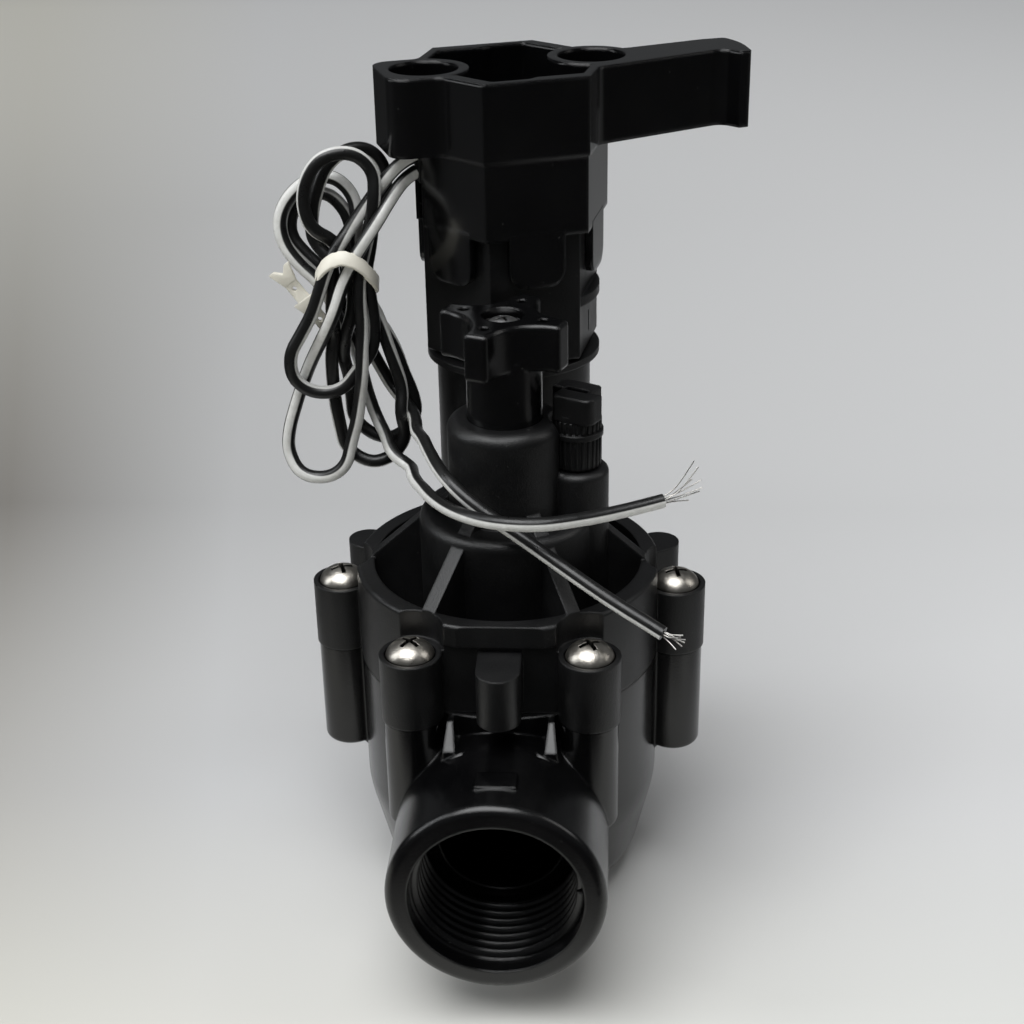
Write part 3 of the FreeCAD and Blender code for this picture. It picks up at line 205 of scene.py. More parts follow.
def metal(name, dark, light, smooth, dull, scale=700, edge=0.0002):
    """Bare metal with an uneven sheen, and painted shade in its crevices."""
    material, net, shader = tree(name)
    where = net.nodes.new("ShaderNodeTexCoord").outputs["Object"]
    shader.inputs["Metallic"].default_value = 1
    cloud = noise(net, where, scale, 4)
    crevice = net.nodes.new("ShaderNodeAmbientOcclusion")
    crevice.inputs["Distance"].default_value = CREVICE
    # How far a place lies out of the painted crevice shade.
    unshaded_share = spread(net, crevice.outputs["AO"], 0.35, 0.8, 0, 1)
    tint = ramp(net, cloud, (0.3, dark), (0.7, light))
    net.links.new(blend(net, unshaded_share, CREVICE_SHADE, tint), shader.inputs["Base Color"])
    net.links.new(spread(net, cloud, 0.3, 0.7, smooth, dull), shader.inputs["Roughness"])
    relief(net, shader, noise(net, where, scale * 4, 2), 0.00004, edge)
    return material


# %% [markdown]
# ## Finishes
# The body and the key are glossy, the bonnet and the column are duller, and the rubber is dull.
# Each slot of the frame gets one finish, so a piece changes its looks with its slot alone.

# %% finishes: colours, roughness from smooth to dull, depth of the grain, bevel
body_black = plastic(
    "body_black", (0.0016, 0.0016, 0.0018), (0.003, 0.003, 0.0032), 0.13, 0.25, 0.00002, 0.0008
)
bonnet_black = plastic(
    "bonnet_black", (0.003, 0.003, 0.0032), (0.006, 0.006, 0.0063), 0.32, 0.46, 0.00006, 0.0006
)
column_black = plastic(
    "column_black", (0.003, 0.003, 0.0032), (0.0055, 0.0055, 0.0057), 0.28, 0.42, 0.00005
)
key_black = plastic(
    "key_black", (0.0015, 0.0015, 0.0017), (0.0028, 0.0028, 0.003), 0.1, 0.2, 0.00001, 0.0012, 0.4
)
rubber_black = plastic(
    "rubber_black", (0.008, 0.008, 0.008), (0.014, 0.014, 0.014), 0.6, 0.75, 0.00008, 0.0002
)
bobbin_tan = plastic("bobbin_tan", (0.5, 0.42, 0.3), (0.6, 0.5, 0.36), 0.35, 0.5, 0.00005, 0.0003)
resin_dark = plastic(
    "resin_dark", (0.012, 0.012, 0.015), (0.02, 0.02, 0.024), 0.15, 0.3, 0.00004, 0.0002
)
tie_cream = plastic("tie_cream", (0.7, 0.67, 0.58), (0.78, 0.75, 0.66), 0.3, 0.42, 0.00004, 0.0003)
bright_steel = metal("bright_steel", (0.4, 0.375, 0.335), (0.5, 0.475, 0.43), 0.27, 0.38)
dull_steel = metal("dull_steel", (0.4, 0.4, 0.4), (0.52, 0.52, 0.52), 0.28, 0.42)
soft_iron = metal("soft_iron", (0.3, 0.3, 0.31), (0.42, 0.42, 0.43), 0.35, 0.5)
warm_brass = metal("warm_brass", (0.6, 0.42, 0.16), (0.74, 0.54, 0.24), 0.22, 0.36)
wound_copper = metal("wound_copper", (0.6, 0.24, 0.1), (0.75, 0.34, 0.16), 0.25, 0.4, 1500)
tinned_wire = metal("tinned_wire", (0.6, 0.58, 0.55), (0.8, 0.78, 0.74), 0.25, 0.4, 2500)
FINISH = {
    "body_plastic": body_black,
    "bonnet_plastic": bonnet_black,
    "column_plastic": column_black,
    "key_plastic": key_black,
    "black_rubber": rubber_black,
    "bobbin_plastic": bobbin_tan,
    "resin": resin_dark,
    "tie_plastic": tie_cream,
    "screw_steel": bright_steel,
    "bright_steel": dull_steel,
    "soft_iron": soft_iron,
    "brass": warm_brass,
    "copper": wound_copper,
}
print("slots:", sorted(FINISH))

# %% [markdown]
# ## Painting the frame's parts
# The frame's record says which slot each node has, so a loop paints them all. The flow handle
# is moulded as glossy as the body, so it takes the body's finish.

# %% paint the parts that the frame brings
for part in frame["record"]["subparts"]:
    shown = nodes[part["node"]]
    shown.data.materials.clear()
    shown.data.materials.append(FINISH.get(part["material_slot"], body_black))
nodes["flow_handle"].data.materials[0] = body_black


# %% [markdown]
# ## Modelling tools
# Apart from the leads and their wires, every new piece starts as a primitive, is shaped in edit
# mode and ends with applied modifiers. A few helpers keep that short: clearing the selection,
# picking elements by their place, cutting, copying and joining. They move the mesh inside its
# object, so that the object itself stays at the origin.

# %% modelling tools
MM = 0.001


def clear():
    """Nothing selected, object mode."""
    if bpy.context.object and bpy.context.object.mode != "OBJECT":
        bpy.ops.object.mode_set(mode="OBJECT")
    bpy.ops.object.select_all(action="DESELECT")


def begin(name):
    """Name the primitive just added and put its place into its mesh."""
    made = bpy.context.object
    made.name = name
    bpy.ops.object.transform_apply(location=True, rotation=True, scale=True)
    return made


def pick(piece, kind, wanted):
    """Go into edit mode with only the vertices or edges that wanted() accepts selected."""
    bpy.ops.object.mode_set(mode="EDIT")
    bpy.ops.mesh.select_mode(type={"vertices": "VERT", "edges": "EDGE"}[kind])
    bpy.ops.mesh.select_all(action="DESELECT")
    bpy.ops.object.mode_set(mode="OBJECT")
    mesh = piece.data
    for item in getattr(mesh, kind):
        if kind == "vertices":
            item.select = wanted(item.co)
        else:
            item.select = wanted([mesh.vertices[v].co for v in item.vertices])
    bpy.ops.object.mode_set(mode="EDIT")


def done(piece, angle=40):
    """Back to object mode, normals outward, smooth between shallow faces."""
    bpy.ops.object.mode_set(mode="EDIT")
    bpy.ops.mesh.select_all(action="SELECT")
    bpy.ops.mesh.normals_make_consistent(inside=False)
    bpy.ops.object.mode_set(mode="OBJECT")
    clear()
    piece.select_set(True)
    bpy.context.view_layer.objects.active = piece
    bpy.ops.object.shade_smooth_by_angle(angle=math.radians(angle))
    clear()
    return piece


def modify(piece, kind, **values):
    """Add a modifier, fill it in and apply it."""
    bpy.context.view_layer.objects.active = piece
    made = piece.modifiers.new(kind.lower(), kind)
    for key, value in values.items():
        setattr(made, key, value)
    bpy.ops.object.modifier_apply(modifier=made.name)


def carve(piece, cutter):
    """Cut one piece's shape out of another, then throw the cutter away."""
    modify(piece, "BOOLEAN", operation="DIFFERENCE", object=cutter, solver="EXACT")
    bpy.data.objects.remove(cutter)


def copy(piece, name, move):
    """A second piece with its own mesh, moved by a matrix."""
    made = piece.copy()
    made.data = piece.data.copy()
    made.name = name
    made.data.transform(move)
    bpy.context.collection.objects.link(made)
    return made


def join(pieces, name):
    """Several objects made one."""
    clear()
    for piece in pieces:
        piece.select_set(True)
    bpy.context.view_layer.objects.active = pieces[0]
    bpy.ops.object.join()
    pieces[0].name = name
    clear()
    return pieces[0]


def fit(piece, body, slot, material, *stands_for):
    """Give a finished piece its body, its finish and the nodes that it replaces; slot is not used."""
    piece.data.materials.clear()
    piece.data.materials.append(material)
    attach(piece, body)
    if stands_for:
        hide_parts(*stands_for)
    print(piece.name, "faces", len(piece.data.polygons))


# %% [markdown]
# ## Pipe threads
# Both ports are tapped for a one-inch pipe thread. A thread is one tooth swept along a helix,
# so a flat tooth is shaped once and the Screw modifier winds it seven times. A bump could draw
# the rings too, but the teeth show in outline at the port's mouth, where a bump stays flat.

# %% the tooth and its winding, in millimetres
THREAD_RADIUS = 16.05
THREAD_PITCH = 2.309
THREAD_TURNS = 7
TOOTH_DEEP = 1.3
TOOTH_WIDE = 1.9
CREST_SHARE = 0.25
PORT_HEIGHT = 30.4
THREAD_START = -36.9

# %% pipe threads
tooth_middle = (THREAD_RADIUS * MM, 0, 0)
clear()
bpy.ops.mesh.primitive_plane_add(size=1, location=tooth_middle, rotation=(math.pi / 2, 0, 0))
inlet_thread = begin("inlet_thread")
pick(inlet_thread, "vertices", lambda co: True)
bpy.ops.transform.resize(value=(TOOTH_DEEP * MM, 1, TOOTH_WIDE * MM), center_override=tooth_middle)
pick(inlet_thread, "vertices", lambda co: co.x < THREAD_RADIUS * MM)
bpy.ops.transform.resize(value=(1, 1, CREST_SHARE), center_override=tooth_middle)
bpy.ops.object.mode_set(mode="OBJECT")
modify(
    inlet_thread, "SCREW", axis="Z", angle=2 * math.pi, screw_offset=THREAD_PITCH * MM,
    iterations=THREAD_TURNS, steps=72, render_steps=72, use_normal_calculate=True,
    use_merge_vertices=False,
)
pick(inlet_thread, "vertices", lambda co: True)
bpy.ops.mesh.fill_holes(sides=8)
done(inlet_thread)
mouth = Matrix.Translation((0, THREAD_START * MM, PORT_HEIGHT * MM))
inlet_thread.data.transform(mouth @ Matrix.Rotation(math.pi / 2, 4, "X"))
outlet_thread = copy(inlet_thread, "outlet_thread", Matrix.Rotation(math.pi, 4, "Z"))
for thread in (inlet_thread, outlet_thread):
    fit(thread, "valve_body", "body_plastic", body_black)
    print(thread.name, [round(v * 1000, 1) for v in (*thread.bound_box[0], *thread.bound_box[6])])

# %% [markdown]
# ## Screws
# Six screws hold the bonnet, and a small one holds the handle. A domed head is the upper half
# of a flattened sphere, which is rounder than a bevelled cylinder. Two crossed slots, narrower
# at their bottoms, make the recess. One screw is modelled and copied round the bolt circle.


# %% one screw
def cross_screw(name, radius, height, recess, shank, length):
    """A domed screw with a cross recess, sizes in millimetres, its seat at the origin."""
    clear()
    bpy.ops.mesh.primitive_uv_sphere_add(segments=64, ring_count=32, radius=1)
    head = begin(name)
    head.data.transform(Matrix.Diagonal((radius * MM, radius * MM, height * MM, 1)))
    pick(head, "vertices", lambda co: co.z < -0.001 * MM)
    bpy.ops.mesh.delete(type="VERT")
    bpy.ops.mesh.select_all(action="SELECT")
    bpy.ops.mesh.region_to_loop()
    bpy.ops.mesh.edge_face_add()
    bpy.ops.object.mode_set(mode="OBJECT")
    middle = (height - recess * 0.35) * MM
    slot_size = Matrix.Diagonal((radius * 1.2 * MM, radius * 0.2 * MM, recess * 1.3 * MM, 1))
    lifted = Matrix.Translation((0, 0, middle)) @ slot_size @ Matrix.Translation((0, 0, -middle))
    for angle in (0, math.pi / 2):
        clear()
        bpy.ops.mesh.primitive_cube_add(size=1, location=(0, 0, middle))
        slot = begin("slot")
        slot.data.transform(lifted)
        pick(slot, "vertices", lambda co: co.z < (height - recess * 0.5) * MM)
        bpy.ops.transform.resize(value=(0.42, 0.7, 1), center_override=(0, 0, 0))
        bpy.ops.object.mode_set(mode="OBJECT")
        slot.data.transform(Matrix.Rotation(angle, 4, "Z"))
        carve(head, slot)
    clear()
    bpy.ops.mesh.primitive_cylinder_add(
        vertices=32, radius=shank * MM, depth=length * MM, location=(0, 0, -length / 2 * MM)
    )
    stem = begin("stem")
    pick(stem, "edges", lambda ends: all(end.z < (0.01 - length) * MM for end in ends))
    bpy.ops.mesh.bevel(offset=shank * 0.4 * MM, segments=1, affect="EDGES")
    bpy.ops.object.mode_set(mode="OBJECT")
    screw = join([head, stem], name)
    return done(screw, 35)


# %% six bonnet screws, each stopped at its own twist
BOLT_CIRCLE = 35
SEAT_DROP = 2.9
TWISTS = (12, 38, 65, 20, 50, 28)
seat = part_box("bonnet_screws")[1][2] - SEAT_DROP * MM
master = cross_screw("screw_master", radius=4.9, height=3.7, recess=2.6, shank=2.38, length=31.8)
set_of_six = []
for i, twist in enumerate(TWISTS):
    way = math.radians(60 * i)
    place = Matrix.Translation((BOLT_CIRCLE * MM * math.cos(way), BOLT_CIRCLE * MM * math.sin(way), seat))
    set_of_six.append(copy(master, "screw_%d" % i, place @ Matrix.Rotation(math.radians(twist), 4, "Z")))
bpy.data.objects.remove(master)
screws = join(set_of_six, "cross_screws")
fit(screws, "valve_body", "screw_steel", bright_steel, "bonnet_screws")

# %% the handle's screw, in its dish
DISH_DROP = 1.6
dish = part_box("handle_screw")[1][2] - DISH_DROP * MM
grip_screw = cross_screw("grip_screw", radius=3.35, height=1.7, recess=1.2, shank=1.55, length=8.0)
grip_screw.data.transform(Matrix.Translation((0, 0, dish)) @ Matrix.Rotation(0.5, 4, "Z"))
fit(grip_screw, "flow_control", "bright_steel", dull_steel, "handle_screw")

# %% [markdown]
# ## Ribs on the bleed screw
# Fingers turn this little barrel, so it is ribbed all round, in two rows with a plain belt
# between them. One rib with rounded long edges is copied every fifteen degrees, which keeps all
# of them alike.

# %% bleed ribs
BLEED = Vector((14.4 * MM, 0, 0))
RIB_DEEP = 0.7
RIB_WIDE = 0.62
RIB_CIRCLE = 4.62
RIB_COUNT = 24


def ring_of_ribs(name, radius, low, high, count):
    """Upright ribs on a cylinder about the bleed screw's axis."""
    clear()
    bpy.ops.mesh.primitive_cube_add(size=1)
    rib = begin("rib")
    size = Matrix.Diagonal((RIB_DEEP * MM, RIB_WIDE * MM, (high - low) * MM, 1))
    rib.data.transform(Matrix.Translation((radius * MM, 0, (low + high) / 2 * MM)) @ size)
    pick(rib, "edges", lambda ends: all(end.x > radius * MM for end in ends))
    bpy.ops.mesh.bevel(offset=0.2 * MM, segments=2, affect="EDGES")
    bpy.ops.object.mode_set(mode="OBJECT")
    ribs = []
    for i in range(count):
        ribs.append(copy(rib, "rib_%d" % i, Matrix.Rotation(math.radians(360 * i / count), 4, "Z")))
    bpy.data.objects.remove(rib)
    made = join(ribs, name)
    made.data.transform(Matrix.Translation(BLEED))
    return done(made)


for name, low, high in (("bleed_ribs", 96.5, 102.9), ("bleed_ribs_high", 104.3, 106.8)):
    row = ring_of_ribs(name, RIB_CIRCLE, low, high, RIB_COUNT)
    fit(row, "bleed_screw", "column_plastic", column_black)

# %% [markdown]
# ## Springs
# One spring closes the diaphragm and a small one the plunger. A spring is round wire wound on a
# mandrel, so a small circle is wound by the Screw modifier. The frame's springs are stiff, so
# these stand in for them.


# %% springs
def wound_spring(name, body, turns, wire):
    """Round wire wound to the size of a frame spring."""
    low, high = (Vector(corner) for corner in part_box(name))
    middle = (low + high) / 2
    radius = (high.x - low.x) / 2 - wire * MM
    tall = high.z - low.z
    clear()
    bpy.ops.mesh.primitive_circle_add(
        vertices=12, radius=wire * MM, location=(radius, 0, wire * MM), rotation=(math.pi / 2, 0, 0)
    )
    coils = begin(name + "_coils")
    modify(
        coils, "SCREW", axis="Z", angle=2 * math.pi, screw_offset=(tall - 2 * wire * MM) / turns,
        iterations=turns, steps=36, render_steps=36, use_merge_vertices=False,
    )
    pick(coils, "vertices", lambda co: True)
    bpy.ops.mesh.fill_holes(sides=12)
    done(coils)
    coils.data.transform(Matrix.Translation((middle.x, middle.y, low.z)))
    fit(coils, body, "bright_steel", dull_steel, name)
    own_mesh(coils)
    print(name, "wire", wire, "tall", round(tall * 1000, 2))


wound_spring("closing_spring", "valve_body", turns=6, wire=0.75)
wound_spring("plunger_spring", "solenoid", turns=5, wire=0.35)

# %% [markdown]
# ## The tie
# A cream plastic tie holds the hank: a flat band pulled round the leads, and its free end, a
# short strip with two wedge-shaped heads, a small hole behind each and a notch in its end. The
# band is an oval strip of faces that gets its wall from Solidify, and the strip is cut and joined
# from blocks, as its outline has sharp corners.

# %% sizes of the tie, in millimetres
BAND_HALVES = (6.6, 8.0)
BAND_TALL = 3.1
BAND_WALL = 0.9
BAND_PLACE = (-33.4, 21.6, 129.9)
BAND_TILT = -35
SAG_STEP = 0.28
SAG_STARTS = (1.4, 2.2, 3.0, 3.6, 4.2, 4.7, 5.1, 5.5, 5.9, 6.3)
STRIP_SIZE = (17, 0.9, 2.8)
STRIP_MIDDLE = 8.6
STRIP_PLACE = (-47.6, 20.9, 130.3)
STRIP_TILT = 54
HEAD_STARTS = (0, 8.2)
HEAD_SIZE = (3.8, 1.1, 5.2)
HEAD_TAPER = 0.56
HOLE_RADIUS = 0.5
HOLE_PLACE = 5.2
NOTCH = 2.0
NOTCH_SHIFT = -0.0005  # of its side, so that no corner of it lies exactly in the strip's end


def block(name, size, middle):
    """A block of a size in millimetres, its middle out along X."""
    clear()
    bpy.ops.mesh.primitive_cube_add(size=1)
    made = begin(name)
    scale = Matrix.Diagonal((size[0] * MM, size[1] * MM, size[2] * MM, 1))
    made.data.transform(Matrix.Translation((middle * MM, 0, 0)) @ scale)
    return made


def place_tilted(piece, place, tilt, axis):
    """Turn a finished mesh by some degrees, then move it to its place in millimetres."""
    turned = Matrix.Rotation(math.radians(tilt), 4, axis)
    piece.data.transform(Matrix.Translation([value * MM for value in place]) @ turned)


# %% the band: an oval whose sides sag step by step, then given a wall
clear()
bpy.ops.mesh.primitive_circle_add(vertices=56, radius=1)
band = begin("tie_band")
band.data.transform(Matrix.Diagonal((BAND_HALVES[0] * MM, BAND_HALVES[1] * MM, 1, 1)))
pick(band, "vertices", lambda co: True)
bpy.ops.mesh.extrude_region_move(TRANSFORM_OT_translate={"value": (0, 0, BAND_TALL * MM)})
bpy.ops.object.mode_set(mode="OBJECT")
band.data.transform(Matrix.Translation((0, 0, -BAND_TALL / 2 * MM)))
for start in SAG_STARTS:
    pick(band, "vertices", lambda co: abs(co.x) > start * MM)
    bpy.ops.transform.translate(value=(0, 0, -SAG_STEP * MM))
    bpy.ops.object.mode_set(mode="OBJECT")
modify(band, "SOLIDIFY", thickness=BAND_WALL * MM, offset=1, use_even_offset=True)
modify(band, "BEVEL", width=0.25 * MM, segments=2, limit_method="ANGLE", angle_limit=math.radians(50))
done(band, 50)
place_tilted(band, BAND_PLACE, BAND_TILT, "X")
print("band:", len(band.data.polygons), "faces")

# %% the strip: two heads joined on, two holes and a notch cut out
strip = block("tie_strip", STRIP_SIZE, STRIP_MIDDLE)
for start in HEAD_STARTS:
    head = block("head", HEAD_SIZE, start + HEAD_SIZE[0] / 2)
    pick(head, "vertices", lambda co: co.x > (start + HEAD_SIZE[0] / 2) * MM)
    bpy.ops.transform.resize(value=(1, 1, HEAD_TAPER), center_override=((start + HEAD_SIZE[0]) * MM, 0, 0))
    bpy.ops.object.mode_set(mode="OBJECT")
    modify(strip, "BOOLEAN", operation="UNION", object=head, solver="EXACT")
    bpy.data.objects.remove(head)
    clear()
    bpy.ops.mesh.primitive_cylinder_add(
        vertices=20, radius=HOLE_RADIUS * MM, depth=4 * MM,
        location=((start + HOLE_PLACE) * MM, 0, 0), rotation=(math.pi / 2, 0, 0),
    )
    carve(strip, begin("hole"))
clear()
bpy.ops.mesh.primitive_cube_add(size=1, location=(NOTCH_SHIFT, 0, 0))
notch = begin("notch")
notch.data.transform(Matrix.Rotation(math.pi / 4, 4, "Y") @ Matrix.Scale(NOTCH * MM, 4))
carve(strip, notch)
modify(strip, "BEVEL", width=0.12 * MM, segments=2, limit_method="ANGLE", angle_limit=math.radians(50))
done(strip, 40)
place_tilted(strip, STRIP_PLACE, STRIP_TILT, "Y")

# %% the tie, as one piece
tie = join([band, strip], "tie")
fit(tie, "solenoid", "tie_plastic", tie_cream, "lead_tie")

# %% [markdown]
# ## The two leads
# Each lead is one smooth line: out of the housing, through two lower and two upper turns of the
# hank, and across the bonnet to its bare end. A NURBS line of order 3 cuts softly inside its
# points, as limp wire does, where straight runs would look like bent wire. The points, in
# millimetres, began as given ones. A separate program then moved most of them apart so that the
# strands clear each other, and some were set by hand again after that.

# %% leads
LEAD = 0.0028
LEAD_A = [
    (-18.6, 25.5, 152.7), (-21.2, 24.5, 152.0), (-25.0, 23.7, 148.3), (-28.4, 22.9, 144.0),
    (-31.6, 20.9, 139.8), (-34.6, 18.4, 135.8), (-37.2, 17.0, 131.3), (-38.8, 16.9, 126.6),
    (-40.6, 17.0, 121.8), (-43.2, 17.2, 117.3), (-46.1, 17.2, 112.6), (-45.9, 18.1, 106.6),
    (-41.3, 18.7, 103.3), (-35.5, 19.4, 104.0), (-32.1, 20.6, 108.4), (-28.8, 20.4, 112.8),
    (-28.3, 20.6, 118.5), (-28.7, 20.1, 123.9), (-29.8, 21.7, 129.1), (-28.7, 23.6, 134.1),
    (-28.0, 24.3, 139.6), (-25.5, 27.0, 143.9), (-25.4, 28.9, 149.2), (-28.2, 28.0, 153.4),
    (-32.4, 24.9, 154.4), (-36.4, 22.6, 151.8), (-38.4, 22.1, 147.6), (-40.0, 22.2, 142.3),
    (-40.6, 21.8, 136.4), (-36.3, 20.3, 132.3), (-36.1, 19.2, 127.4), (-36.8, 18.3, 121.7),
    (-36.8, 21.0, 116.8), (-37.9, 21.3, 111.3), (-38.1, 22.0, 105.8), (-37.8, 21.7, 100.3),
    (-37.1, 21.8, 94.8), (-36.4, 22.1, 89.5), (-31.0, 21.0, 86.1), (-25.8, 22.4, 87.4),
    (-22.7, 22.4, 92.5), (-23.8, 20.8, 97.9), (-23.3, 23.5, 102.7), (-24.9, 23.8, 108.3),
    (-26.4, 23.7, 113.4), (-27.7, 23.8, 118.9), (-30.2, 22.9, 123.9), (-29.6, 25.7, 128.8),
    (-32.1, 24.5, 134.2), (-31.2, 24.0, 138.9), (-31.8, 26.4, 144.2), (-35.9, 27.2, 148.2),
    (-41.2, 27.0, 147.6), (-45.6, 26.4, 144.0), (-47.9, 25.9, 139.4), (-47.2, 25.0, 134.4),
    (-44.0, 24.0, 130.2), (-40.0, 23.0, 127.0), (-37.2, 22.2, 122.8), (-36.3, 23.4, 118.4),
    (-34.5, 25.6, 114.4), (-33.4, 26.6, 110.2), (-32.8, 28.5, 105.7), (-31.7, 27.8, 100.2),
    (-30.0, 27.4, 94.6), (-27.5, 23.2, 92.0), (-25.8, 19.1, 89.2), (-21.2, 16.1, 87.6),
    (-20.6, 10.6, 88.6), (-19.1, 5.4, 89.1), (-17.2, 0.2, 90.1), (-15.4, -4.9, 91.0),
    (-13.1, -9.8, 91.8), (-10.3, -14.6, 92.6), (-6.8, -18.8, 93.3), (-2.4, -22.1, 93.8),
    (2.9, -23.9, 94.1), (8.5, -24.2, 94.3), (13.7, -22.3, 94.2), (18.6, -19.9, 94.0),
    (23.8, -17.8, 94.3), (28.8, -15.9, 94.8), (31.5, -15.0, 95.2),
]
LEAD_B = [
    (-18.6, 25.5, 149.5), (-21.0, 24.7, 148.3), (-23.8, 21.8, 144.8), (-26.4, 18.7, 140.8),
    (-29.2, 17.4, 136.8), (-31.8, 17.6, 132.6), (-34.0, 16.6, 128.2), (-35.4, 15.9, 123.4),
    (-37.6, 16.8, 118.8), (-40.0, 19.2, 114.2), (-42.4, 20.9, 109.5), (-44.5, 21.7, 104.6),
    (-46.4, 21.2, 99.4), (-48.1, 21.2, 94.2), (-48.8, 21.3, 88.9), (-46.0, 19.2, 84.1),
    (-40.1, 18.8, 83.5), (-35.6, 18.1, 86.9), (-34.4, 18.9, 92.3), (-32.8, 18.5, 97.5),
    (-31.9, 18.5, 102.9), (-31.0, 17.2, 108.3), (-30.8, 17.9, 113.7), (-30.5, 18.3, 119.1),
    (-30.7, 17.6, 124.5), (-30.6, 18.6, 130.0), (-29.4, 20.6, 134.7), (-28.0, 21.3, 139.9),
    (-26.8, 20.2, 145.3), (-26.9, 22.0, 150.7), (-30.8, 20.7, 154.8), (-36.7, 19.2, 154.4),
    (-40.2, 18.6, 150.3), (-41.4, 18.6, 144.7), (-40.0, 18.6, 139.4), (-35.8, 21.1, 136.3),
    (-33.5, 22.4, 131.5), (-32.5, 22.1, 126.1), (-32.7, 20.9, 120.8), (-34.7, 21.5, 115.7),
    (-35.8, 23.0, 110.6), (-35.0, 25.2, 105.2), (-34.9, 25.8, 99.8), (-34.9, 26.3, 94.4),
    (-30.2, 26.3, 90.2), (-25.2, 26.0, 90.2), (-20.9, 26.4, 95.2), (-21.5, 26.8, 100.2),
    (-23.5, 26.7, 105.4), (-24.9, 26.8, 110.6), (-27.4, 27.1, 115.7), (-30.6, 25.6, 120.2),
    (-33.2, 25.0, 124.1), (-34.8, 25.5, 129.9), (-32.8, 27.4, 134.6), (-33.6, 27.6, 140.2),
    (-37.4, 28.6, 144.2), (-42.0, 28.8, 144.0), (-45.6, 28.8, 140.2), (-46.2, 28.4, 135.2),
    (-43.0, 27.4, 131.4), (-39.0, 26.2, 128.2), (-36.4, 25.6, 123.6), (-35.6, 27.0, 118.6),
    (-34.2, 28.6, 114.3), (-30.8, 28.7, 110.3), (-28.5, 29.0, 105.1), (-26.0, 28.3, 100.6),
    (-22.2, 25.0, 97.9), (-20.5, 20.3, 96.9), (-19.8, 14.4, 96.5), (-17.8, 9.4, 97.2),
    (-16.5, 4.0, 97.6), (-15.0, -1.2, 98.0), (-13.2, -6.4, 97.8), (-10.6, -11.1, 96.9),
    (-6.7, -14.5, 94.6), (-2.3, -16.3, 92.0), (2.3, -18.0, 89.5), (6.8, -20.2, 87.2),
    (11.2, -22.6, 85.0), (15.6, -25.1, 82.9), (20.0, -27.6, 80.9), (24.6, -30.0, 78.9),
    (29.2, -32.4, 77.1), (31.4, -33.6, 76.2),
]


# %% [markdown]
# ## The striped cover
# The cover is black with one white stripe along it. A tube's UV map runs once round the wire, so
# a colour ramp across it draws the stripe, and it twists with the line, which a stripe in object
# coordinates wouldn't. Noise multiplied over it gives the grime of handling.

# %% striped cover
COVER_BLACK = (0.008, 0.008, 0.008)
COVER_WHITE = (0.66, 0.66, 0.64)
COVER_GRIME = (0.55, 0.53, 0.5)
SOFT_EDGE = 0.015


def insulation(name, stripe):
    """Black cover with one white stripe between two shares of the way round, with scuffs."""
    material, net, shader = tree(name)
    coords = net.nodes.new("ShaderNodeTexCoord")
    across = net.nodes.new("ShaderNodeSeparateXYZ")
    net.links.new(coords.outputs["UV"], across.inputs["Vector"])
    low, high = stripe
    colour = ramp(
        net, across.outputs["Y"], (0.0, COVER_BLACK),
        (low - SOFT_EDGE, COVER_BLACK), (low + SOFT_EDGE, COVER_WHITE),
        (high - SOFT_EDGE, COVER_WHITE), (high + SOFT_EDGE, COVER_BLACK),
    )
    cloud = noise(net, coords.outputs["Object"], 500, 4)
    grime = spread(net, cloud, 0.45, 0.75, 0, 0.35)
    net.links.new(blend(net, grime, colour, COVER_GRIME, "MULTIPLY"), shader.inputs["Base Color"])
    net.links.new(spread(net, cloud, 0.3, 0.7, 0.25, 0.42), shader.inputs["Roughness"])
    relief(net, shader, noise(net, coords.outputs["Object"], 1500, 2), 0.00003)
    return material


# %% one lead
def twist_at(turns, place):
    """Twist in degrees at one point of a line, between the two listed turns round it."""
    before = [turn for turn in turns if turn[0] <= place][-1]
    after = ([turn for turn in turns if turn[0] >= place] or [before])[0]
    share = (place - before[0]) / max(after[0] - before[0], 1)
    return before[1] + (after[1] - before[1]) * share


def run_lead(name, points, turns, material):
    """One open NURBS line along the listed points in millimetres, with its twist in degrees."""
    curve = bpy.data.curves.new(name, "CURVE")
    curve.dimensions = "3D"
    curve.bevel_depth = LEAD / 2
    curve.bevel_resolution = 5
    curve.resolution_u = 8
    curve.use_fill_caps = True
    line = curve.splines.new("NURBS")
    line.points.add(len(points) - 1)
    for i, (point, place) in enumerate(zip(line.points, points)):
        point.co = (*(v / 1000 for v in place), 1)
        point.tilt = math.radians(twist_at(turns, i))
    line.order_u = 3
    line.use_endpoint_u = True
    made = bpy.data.objects.new(name, curve)
    bpy.context.collection.objects.link(made)
    curve.materials.append(material)
    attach(made, "solenoid")
    print(name, "points", len(points))
    return made


# %% [markdown]
# ## How the stripe turns
# The stripe faces outward on some turns of the hank and hides on others. Each entry below is a
# point's number and the line's twist there in degrees, and the points between them share the
# change. The facings were chosen by hand, and a separate program turned them into degrees.

